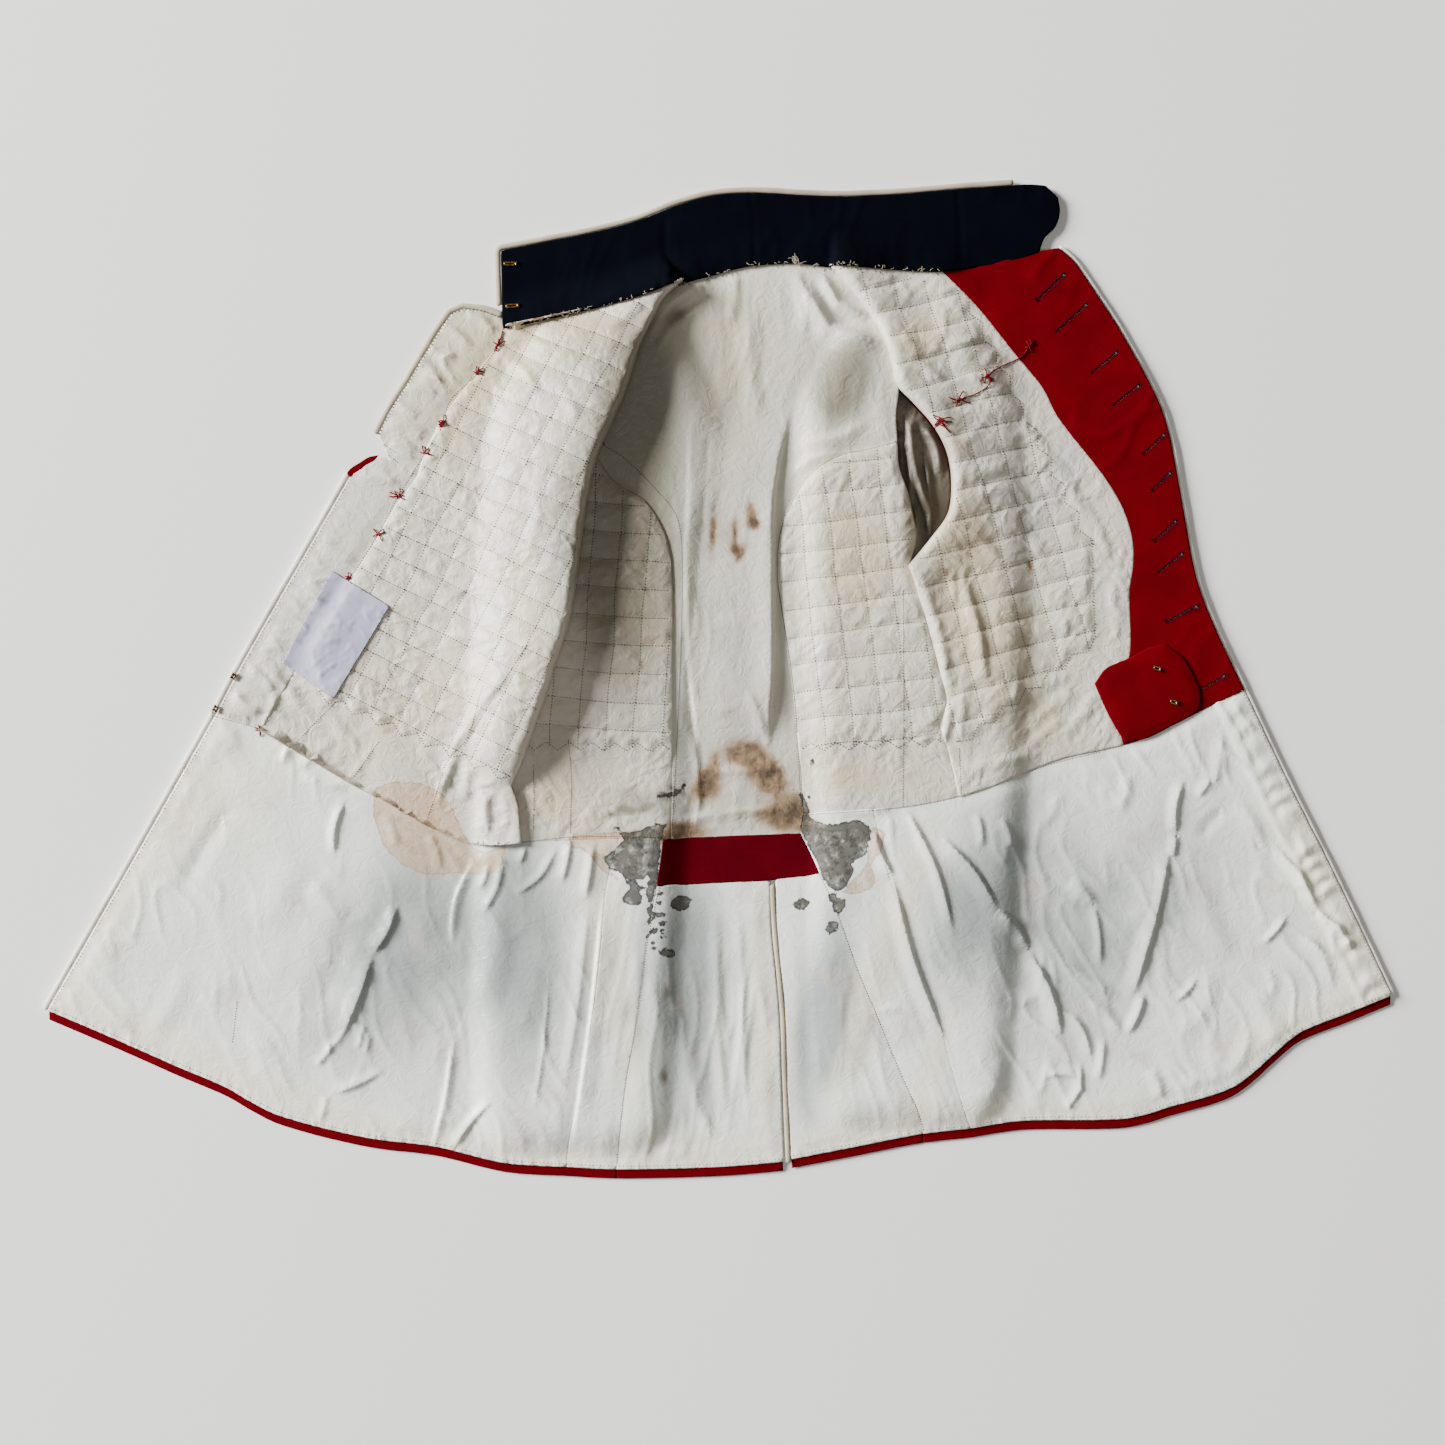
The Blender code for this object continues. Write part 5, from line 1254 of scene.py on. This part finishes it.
white_satin = satin("White lining satin", "#F4F8F0", "#FAF8E4", "#868F8C", 0.36, 0.0012)
for node, (crease, _) in SKIRTS.items():
    make_lining(node, white_satin, "white_satin", crease,
                extra=lambda p, node=node: gathers(node, p), swell=0.6 if "pleat" in node else 1.0)

# The front facing: a broad strip of the scarlet cloth inside the wearer's left front, worked by
# hand with ten keyhole buttonholes in twisted silk, in pairs down the edge.
FACING_STEP = 3.4
facing_rim = panel_rim("facing")


def facing_top(points):
    """The upper side of the facing."""
    return (over_cloth(points) + CLOTH + 0.8 * crumple(points, 40, 60, 22, 71.0)
            + 0.3 * wander(points, 24, 73.0) + 0.4)


make_cloth("facing", facing_rim, facing_top, over_cloth, FACING_STEP, scarlet_wool,
           "scarlet_cloth", holes=cuts, round_edge=1.1)
forms.append((facing_rim, facing_top))

silk_twist = thread("Crimson buttonhole silk", "#400410", 0.8)
purls = []
for cut in cuts:
    ring = smooth(cut, 0.95, corner=100)
    out = (offset(ring, -1) - ring) * 0.9
    purls += list(np.stack([offset(ring, -0.85) - out, offset(ring, -0.85) + out], 1))
stitch_rows("buttonhole_stitches", purls, facing_top, silk_twist, "scarlet_cloth",
            length=1.3, pitch=1.2, width=0.7)

# The hook tab: a rounded flap of two layers of the scarlet cloth, sewn across the facing's foot,
# that carries two brass eyes for the waist hooks.
TAB_THICK = 2.4
tab_rim = smooth(rim_of("hook_tab"), 2, corner=50)
tab_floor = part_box("hook_tab")[0].z / MM


def tab_top(points):
    """The upper side of the hook tab."""
    dome = ease(away(points, tab_rim, True) / 9)
    return tab_floor + TAB_THICK - 0.7 + 0.9 * dome + 0.35 * wander(points, 22, 81.0)


make_cloth("hook_tab", tab_rim, tab_top, lambda p: np.full(len(p), tab_floor), 2.6,
           scarlet_wool, "scarlet_cloth", round_edge=1.5)

# The patch at the back of the waist: a bare strip of the scarlet cloth, where the lining stops
# short above the vent. It is drawn a darker scarlet as painted shade.
make_cloth("back_waist_patch", panel_rim("back_waist_patch"),
           lambda p: over_cloth(p) + CLOTH + 0.3 * wander(p, 26, 83.0), over_cloth, 3.0,
           # Its darker scarlet is painted shade
           wool("Scarlet broadcloth in painted shade", "#47000A", "#56000D"), "scarlet_cloth",
           round_edge=1.0)

# The collar's lining: midnight-blue wool over a stiff interlining, felled to the neck seam. Three
# faint joins cross it, and it is slightly wavy from wear.
COLLAR_LINING = 2.4
COLLAR_LAP = 2.1
COLLAR_JOINS = [(664, 212, 661, 286), (752, 186, 755, 256), (961, 184, 964, 256)]
collar_rim = offset(smooth(rim_of("collar_lining")), -COLLAR_LAP)
neck = run(collar_rim, (502, 323), (944, 264))
neck_heights = form_at(neck + (0, -1.2)) - over_cloth(neck) + 0.2


def over_fronts(points):
    """How far the ends of the linings beneath raise the collar's lower edge."""
    raised = neck_heights[nearest(points, neck)]
    return np.maximum(raised, 0) * ease(1 - away(points, neck) / 34)


def collar_top(points):
    """The upper side of the collar's lining."""
    groove = np.zeros(len(points))
    for row in COLLAR_JOINS:
        groove = np.maximum(groove, ease(1 - away(points, crest(*row, 1)) / 3))
    return (over_cloth(points) + COLLAR_LINING + 0.9 * crumple(points, 82, 50, 20, 91.0)
            + 0.4 * wander(points, 30, 93.0) - 0.7 * groove + over_fronts(points))


make_cloth("collar_lining", collar_rim, collar_top, lambda p: over_cloth(p) + over_fronts(p), 3.0,
           wool("Midnight blue wool", "#010208", "#02050E"), "navy_cloth",
           round_edge=1.4)

# The piping: cream cloth folded round a cord and caught in the edge seams of the collar, both
# fronts and the vent, so that an even bead stands out all round.
PIPING_WIDE = 4.8
PIPING_FINE = 3.0
VENT_PIPING = 4.6
VENT = [(772.5, 885), (774.5, 927), (782, 1007), (785, 1088), (788, 1158)]
# How far a bead is pressed flat, and its share of unevenness
PRESSED = 0.55
UNEVEN = 0.08


def tube(line, radius, sides=10):
    """Rings of points round a line in space, closed at both ends, as coordinates and faces."""
    way = unit(np.gradient(line, axis=0))
    flat = unit(np.cross(way, (0, 0, 1.0)))
    up = np.cross(flat, way)
    radius = np.broadcast_to(radius, len(line))
    turns = np.linspace(0, 2 * np.pi, sides, endpoint=False)[None, :, None]
    rings = line[:, None] + radius[:, None, None] * (
        np.cos(turns) * flat[:, None] + np.sin(turns) * up[:, None])
    coords = np.vstack([rings.reshape(-1, 3), line[:1] - way[:1] * radius[0] * 0.5,
                        line[-1:] + way[-1:] * radius[-1] * 0.5])
    first = len(line) * sides
    last = first - sides
    faces = []
    for ring in range(0, last, sides):
        for k in range(sides):
            a = ring + k
            b = ring + (k + 1) % sides
            faces += [(a, b, b + sides), (a, b + sides, a + sides)]
    for k in range(sides):
        after = (k + 1) % sides
        faces += [(first, after, k), (first + 1, last + k, last + after)]
    return coords, faces


def join(parts):
    """Several sets of coordinates and faces as one."""
    coords = []
    faces = []
    count = 0
    for places, corners in parts:
        coords.append(places)
        faces += [tuple(i + count for i in face) for face in corners]
        count += len(places)
    return np.vstack(coords), faces


def piping_cloth(name, code, dark_code):
    """Fine cream wool stretched on the bias round a cord: a twill line every 1.4 mm, soiled."""
    material, tree, shader, place = blank(name)
    soil = add(tree, "ShaderNodeTexNoise", {"Vector": place, "Scale": 1 / 0.035, "Detail": 4})
    twill = add(tree, "ShaderNodeTexNoise", {"Vector": place, "Scale": 1 / 0.0014, "Detail": 2})
    amount = add(tree, "ShaderNodeMapRange", {"Value": soil, "From Min": 0.35, "From Max": 0.7})
    mixed = add(tree, "ShaderNodeMix", {"Factor": amount, A: code, B: dark_code},
                data_type="RGBA")
    bump = add(tree, "ShaderNodeBump", {"Height": twill, "Strength": 0.4, "Distance": 0.0005})
    feed(shader, {"Base Color": mixed, "Normal": bump, "Roughness": 0.85, "Sheen Weight": 0.2})
    return material


cream_piping = piping_cloth("Cream piping cloth", "#BDB29A", "#9C9078")
white_piping = piping_cloth("White piping cloth", "#F4F1E8", "#DAD4C6")


def make_piping(node, line, diameter, height, material):
    """A bead of piping along a line, at a height over the surface that the tunic lies on."""
    line = smooth(line, 3, closed=False, corner=60)
    uneven = ripple(np.arange(len(line)) * 3.0 / 26, np.zeros(len(line)), 4)
    path = np.column_stack([line, height + 0.25 * uneven])
    coords, faces = tube(path, diameter / 2 * (1 + UNEVEN * uneven))
    coords[:, 2] = height + (coords[:, 2] - height) * PRESSED
    make_piece(node + "_bead", coords, faces, material, "cream_piping", node)


upper_edge = run(panel_rim("underlap_upper"), (499, 309), (376, 431))
lower_edge = np.vstack([run(panel_rim("underlap_lower"), (349, 472), (216, 713)),
                        run(panel_rim("skirt_lining_front_left"), (216, 713), (52, 1008))])
for node, edge, diameter, height, material in (
        ("collar_piping", run(collar_rim, (1017, 176), (502, 299)), PIPING_WIDE, 2.5, cream_piping),
        ("front_piping_upper", upper_edge, PIPING_WIDE, 2.2, cream_piping),
        ("front_piping_lower", lower_edge, PIPING_WIDE, 2.2, white_piping),
        ("facing_piping", run(facing_rim, (1245, 690), (1063, 241)), PIPING_FINE, 2.0, white_piping),
        ("skirt_piping_right", right_edge, PIPING_FINE, 1.7, white_piping)):
    make_piping(node, offset(edge, -diameter / 2 - GAP, False), diameter, height, material)
make_piping("vent_piping", smooth(at(*VENT), 6, closed=False), VENT_PIPING, 2.6, cream_piping)

# The hand sewing that shows: felling stitches along the edges of the lining, and running stitches
# where two panels of it meet.
felling_thread = thread("Cream felling thread", "#BDB198", 0.6)
dark_felling = thread("Drab felling thread", "#5E5648", 0.8)
for name, line, inset, twist in (
        ("felling_underlap_upper", upper_edge, 0.5, dark_felling),
        ("felling_underlap_lower", lower_edge, 1.2, felling_thread),
        ("felling_hem", lining_hem, 2.0, felling_thread),
        ("felling_skirt_right", right_edge, 2.0, felling_thread)):
    stitch_rows(name, [offset(line, inset, False)], form_at, twist, "ivory_satin",
                length=2.4, pitch=3.0, width=0.8, slant=24)

# Seams and darts that the lining shows as a dark closed line, in pixels: running stitches whose
# dark thread also paints the shade in the seam's fold
SEAMS = [
    [(336, 701), (315, 722), (291, 748)], [(379, 741), (366, 760), (350, 782)],
    [(485, 687), (468, 740), (449, 760), (438, 790), (426, 824)], [(530, 648), (500, 694), (466, 746)],
    [(534, 764), (535, 800), (534, 838)], [(569, 740), (572, 775), (571, 832)],
    [(502, 323), (496, 340), (475, 369), (445, 401), (442, 419), (423, 450), (396, 494),
     (376, 533), (352, 572)],
    [(210, 715), (260, 730), (293, 748), (350, 782), (392, 805), (431, 827), (480, 844),
     (523, 842), (570, 837), (664, 837)],
    [(801, 815), (903, 807), (958, 796), (1055, 763), (1100, 752)],
    [(903, 590), (903, 700), (902, 806)], [(958, 748), (960, 796)],
    [(603, 444), (626, 459), (654, 487), (675, 513), (680, 530), (682, 560), (681, 640),
     (677, 740), (672, 830)],
    [(897, 441), (861, 450), (846, 453), (815, 469), (795, 495), (784, 520), (779, 541),
     (778, 579), (784, 620), (790, 660), (795, 703), (801, 812)],
    [(660, 886), (648, 940), (643, 981), (635, 1034), (627, 1077), (621, 1128), (618, 1160)],
    [(818, 873), (828, 892), (839, 919), (857, 970), (876, 1015), (898, 1069), (916, 1109),
     (922, 1128)],
    [(240, 1000), (236, 1040)], [(380, 441), (393, 450)], [(385, 452), (396, 461)]]
# The seam thread's dark colour is partly painted shade of the seam's fold
seam_thread_and_shade = thread("Drab seam thread with painted fold shade", "#564D3F", 0.8)
stitch_rows("seam_lines", [smooth(at(*seam), 2, closed=False, corner=60) for seam in SEAMS],
            form_at, seam_thread_and_shade, "ivory_satin", length=2.4, pitch=2.2, width=0.8)

# The outer cloth's turned-in edge: a narrow tongue of the scarlet that stands out past the lining
# at the foot of the under-lap's notch.
TURNING = [(343, 471), (347, 466), (356, 460), (366, 454), (376, 452), (372, 457), (362, 463),
           (354, 470), (347, 475)]
make_cloth("notch_turning", smooth(at(*TURNING[::-1]), 1.5, corner=50),
           lambda p: over_cloth(p) + CLOTH, over_cloth, 1.5, scarlet_wool, "scarlet_cloth",
           round_edge=0.6)

# The hooks and eyes: tarnished brass wire bent by hand. The flat eyes lie on the collar and on
# the tab, and the two hooks grip the piping of the under-lap at the waist.
WIRE = 1.6


def wire_metal(name, code, dark_code):
    """Drawn brass wire with a brown tarnish that gathers in patches."""
    material, tree, shader, place = blank(name)
    tarnish = add(tree, "ShaderNodeTexNoise", {"Vector": place, "Scale": 1 / 0.0022, "Detail": 3})
    amount = add(tree, "ShaderNodeMapRange", {"Value": tarnish, "From Min": 0.4, "From Max": 0.65})
    mixed = add(tree, "ShaderNodeMix", {"Factor": amount, A: code, B: dark_code},
                data_type="RGBA")
    feed(shader, {"Base Color": mixed, "Roughness": 0.32, "Metallic": 1.0})
    return material


brass = wire_metal("Brass wire", "#A4834E", "#6A4F2C")
dark_brass = wire_metal("Tarnished brass wire", "#6A5432", "#2E261A")


def make_eye(node, length, width, turn, material, cloth):
    """A long loop of wire with the ends bent out into two small sewing rings."""
    low, high = (np.array(v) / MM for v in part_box(node))
    middle = (low + high) / 2
    if cloth:
        middle[2] = cloth(middle[None, :2])[0] + WIRE / 2
    bend = (width - WIRE) / 2
    half = length / 2 - bend
    bpy.ops.object.select_all(action="DESELECT")
    bpy.ops.mesh.primitive_circle_add(
        vertices=10, radius=WIRE / 2 * MM, fill_type="NGON",
        location=(-half * MM, bend * MM, 0), rotation=(0, math.radians(90), 0))
    eye = bpy.context.object
    bpy.ops.object.transform_apply(location=True, rotation=True, scale=True)
    bpy.ops.object.mode_set(mode="EDIT")
    bpy.ops.mesh.select_all(action="SELECT")
    bpy.ops.mesh.extrude_region_move(TRANSFORM_OT_translate={"value": (2 * half * MM, 0, 0)})
    bpy.ops.mesh.spin(steps=10, angle=math.pi, center=(half * MM, 0, 0), axis=(0, 0, -1))
    bpy.ops.mesh.extrude_region_move(TRANSFORM_OT_translate={"value": (-2 * half * MM, 0, 0)})
    bpy.ops.mesh.spin(steps=10, angle=math.pi * 0.86, center=(-half * MM, 0, 0), axis=(0, 0, -1))
    bpy.ops.mesh.select_all(action="SELECT")
    bpy.ops.mesh.remove_doubles(threshold=0.00001)
    bpy.ops.mesh.normals_make_consistent(inside=False)
    bpy.ops.object.mode_set(mode="OBJECT")
    eye.location = middle * MM
    eye.rotation_euler = (0, 0, math.radians(turn))
    bpy.ops.object.transform_apply(location=True, rotation=True, scale=True)
    bpy.ops.object.shade_smooth_by_angle(angle=math.radians(40))
    eye.name = node + "_wire"
    eye.data.name = eye.name
    eye.data.materials.append(material)
    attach(eye, "root")
    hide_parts(node)


for node, length, width, turn, material, cloth in (
        ("collar_eye_upper", 13, 3.6, 0, brass, collar_top),
        ("collar_eye_lower", 13, 3.6, 4, brass, collar_top),
        ("edge_hook_upper", 8, 4.4, 62, dark_brass, None),
        ("edge_hook_lower", 8, 4.4, 62, dark_brass, None),
        ("tab_eye_upper", 9, 3.8, -15, brass, tab_top),
        ("tab_eye_lower", 9, 3.8, -15, brass, tab_top)):
    make_eye(node, length, width, turn, material, cloth)

# The size label: a bare oblong of pale woven tape with turned edges, sewn down along its sides
# and lifting a little between the stitches.
LABEL_THICK = 0.9
LABEL_SPREAD = 5.0
label_rim = smooth(rim_of("size_label"), 2, corner=40)


def label_floor(points):
    """The label's underside, which bridges the quilting's small hollows."""
    turns = np.linspace(0, 2 * np.pi, 8, endpoint=False)
    round_it = [form_at(points + LABEL_SPREAD * np.array((math.cos(t), math.sin(t)))) for t in turns]
    return np.maximum(np.mean(round_it, axis=0), form_at(points)) + GAP


def tape(name, code, shade_code):
    """Woven tape: a close plain weave of 0.4 mm threads, drawn at 0.9 mm so that it shows."""
    material, tree, shader, place = blank(name)
    along = add(tree, "ShaderNodeMapping",
                {"Vector": place, "Rotation": (0, 0, math.radians(-32))})
    weave = add(tree, "ShaderNodeTexChecker", {"Vector": along, "Scale": 1 / 0.0009})
    cloud = add(tree, "ShaderNodeTexNoise", {"Vector": place, "Scale": 1 / 0.02, "Detail": 3})
    tone = add(tree, "ShaderNodeMath", {0: weave.outputs["Fac"], 1: 0.18, 2: cloud},
               operation="MULTIPLY_ADD")
    mixed = add(tree, "ShaderNodeMix", {"Factor": tone, A: code, B: shade_code},
                data_type="RGBA")
    feed(shader, {"Base Color": mixed, "Roughness": 0.6})
    return material


make_cloth("size_label", label_rim, lambda p: label_floor(p) + LABEL_THICK, label_floor, 2.0,
           tape("Woven label tape", "#BEBBCE", "#A6A3BC"), "label_tape",
           round_edge=0.45)
edge_thread = thread("Grey label thread", "#5B5660", 0.7)
stitch_rows("label_stitches", [np.vstack([label_rim, label_rim[:1]])],
            lambda p: label_floor(p) + 0.4, edge_thread, "label_tape",
            length=2.2, pitch=2.5, width=0.7)

# The red basting: odd ends of cotton left by a repair. Small tufts stand along the left placket,
# and a long thread crosses the right front from the armhole to the facing.
STRAND = 0.5
ENDS_TO_A_TUFT = 7
# Columns: pixel of the middle, spread in pixels
TUFTS = [(496, 340, 8), (475, 369, 8), (442, 419, 8), (423, 450, 8), (396, 494, 10), (376, 533, 8),
         (348, 577, 6), (260, 730, 6), (940, 421, 12), (960, 399, 12), (989, 374, 12),
         (1033, 341, 7)]
LONG_THREADS = [
    [(934, 418), (941, 424), (947, 431)], [(957, 404), (963, 398), (974, 394), (985, 388),
                                           (991, 381), (989, 373)],
    [(988, 377), (995, 369), (1008, 361), (1020, 355), (1026, 351), (1033, 341)],
    [(937, 424), (944, 428), (950, 434)], [(502, 318), (499, 332), (495, 341)]]
chance = np.random.default_rng(7)


def wisp(first, last, bend, count, low, high):
    """The points of a bent end of thread, from its root: its way, bend and steps are random."""
    angle = chance.uniform(first, last) + chance.uniform(-bend, bend) * np.linspace(0, 1, count)
    step = np.column_stack([np.cos(angle), np.sin(angle)]) * chance.uniform(low, high)
    return np.cumsum(step, axis=0)


strands = []
for x, y, spread in TUFTS:
    for _ in range(ENDS_TO_A_TUFT):
        reach = spread * PIXEL / 6
        line = wisp(0, 2 * np.pi, 1.1, 7, 0.7 * reach, 1.3 * reach)
        line += at(x, y) - line[3] * 0.55
        z = form_at(line) + 0.5 + 1.1 * np.sin(np.pi * np.linspace(0, 1, 7))
        strands.append(tube(np.column_stack([line, z]), STRAND, 6))
for pixels in LONG_THREADS:
    line = smooth(at(*pixels), 2, closed=False, corner=120)
    strands.append(tube(np.column_stack([line, form_at(line) + 0.7]), STRAND, 6))
make_piece("red_basting", *join(strands), thread("Red basting cotton", "#6E0313", 0.7),
           "scarlet_cloth")

# Frayed ends of the lining's satin: short cream fibres that stand out along the collar's felled
# edge, with one longer bunch near the middle of the neck.
FRAY_PLACES = 170
BUNCH = 9
FIBRE = 0.22
fray = []
for _ in range(FRAY_PLACES):
    start = neck[chance.integers(1, len(neck) - 1)] + chance.uniform(-1.2, 1.2, 2)
    line = start + wisp(0, 2 * np.pi, 1.5, 5, 0.3, 0.8)
    z = np.maximum(collar_top(line) * inside(line, collar_rim), form_at(line))
    fray.append(tube(np.column_stack([line, z + 0.3]), FIBRE, 5))
for _ in range(BUNCH):
    line = wisp(0.6, 2.6, 1.6, 8, 0.5, 1.1) + at(797, 258) + chance.uniform(-1.5, 1.5, 2)
    fray.append(tube(np.column_stack([line, collar_top(line) + 0.5]), FIBRE, 5))
make_piece("neck_fray", *join(fray), felling_thread, "ivory_satin")

# The photograph's view: the tunic is seen from almost straight above, in soft light from the
# left that throws the rolled front's shadow across the back, on a plain pale floor.
PHOTO_SIDE = 1445
LENS = 50
SENSOR = 36
TILT = math.radians(3)
distance = PHOTO_SIDE * PIXEL * MM * LENS / SENSOR
aim = Vector((*(at(722.5, 722.5) * MM), 0.006))
view_way = Vector((0, -math.sin(TILT), math.cos(TILT)))
camera = bpy.data.objects.new("camera", bpy.data.cameras.new("camera"))
camera.data.lens = LENS
camera.data.sensor_width = SENSOR
camera.location = aim + view_way * distance
camera.rotation_euler = (-view_way).to_track_quat("-Z", "Y").to_euler()
bpy.context.scene.collection.objects.link(camera)
bpy.context.scene.camera = camera

bpy.ops.object.select_all(action="DESELECT")
bpy.ops.mesh.primitive_plane_add(size=12, location=(0, 0, -0.0002))
floor = bpy.context.object
floor.name = "floor"
paint, _, paint_shader, _ = blank("Pale matt floor")
feed(paint_shader, {"Base Color": "#FAF9F7", "Roughness": 0.9})
floor.data.materials.append(paint)


def soft_light(name, place, size, power):
    """A square lamp that faces the middle of the tunic."""
    lamp = bpy.data.objects.new(name, bpy.data.lights.new(name, "AREA"))
    lamp.data.size = size
    lamp.data.energy = power
    lamp.location = place
    lamp.rotation_euler = (-Vector(place)).to_track_quat("-Z", "Y").to_euler()
    bpy.context.scene.collection.objects.link(lamp)


soft_light("window", (-7.98, 2.78, 3.08), 3.2, 3480)
soft_light("overhead", (0.2, -0.5, 2.6), 1.4, 14)
world = bpy.data.worlds.new("soft room")
bpy.context.scene.world = world
world.use_nodes = True
feed(world.node_tree.nodes["Background"], {"Color": (1.0, 0.92, 0.79, 1), "Strength": 0.095})
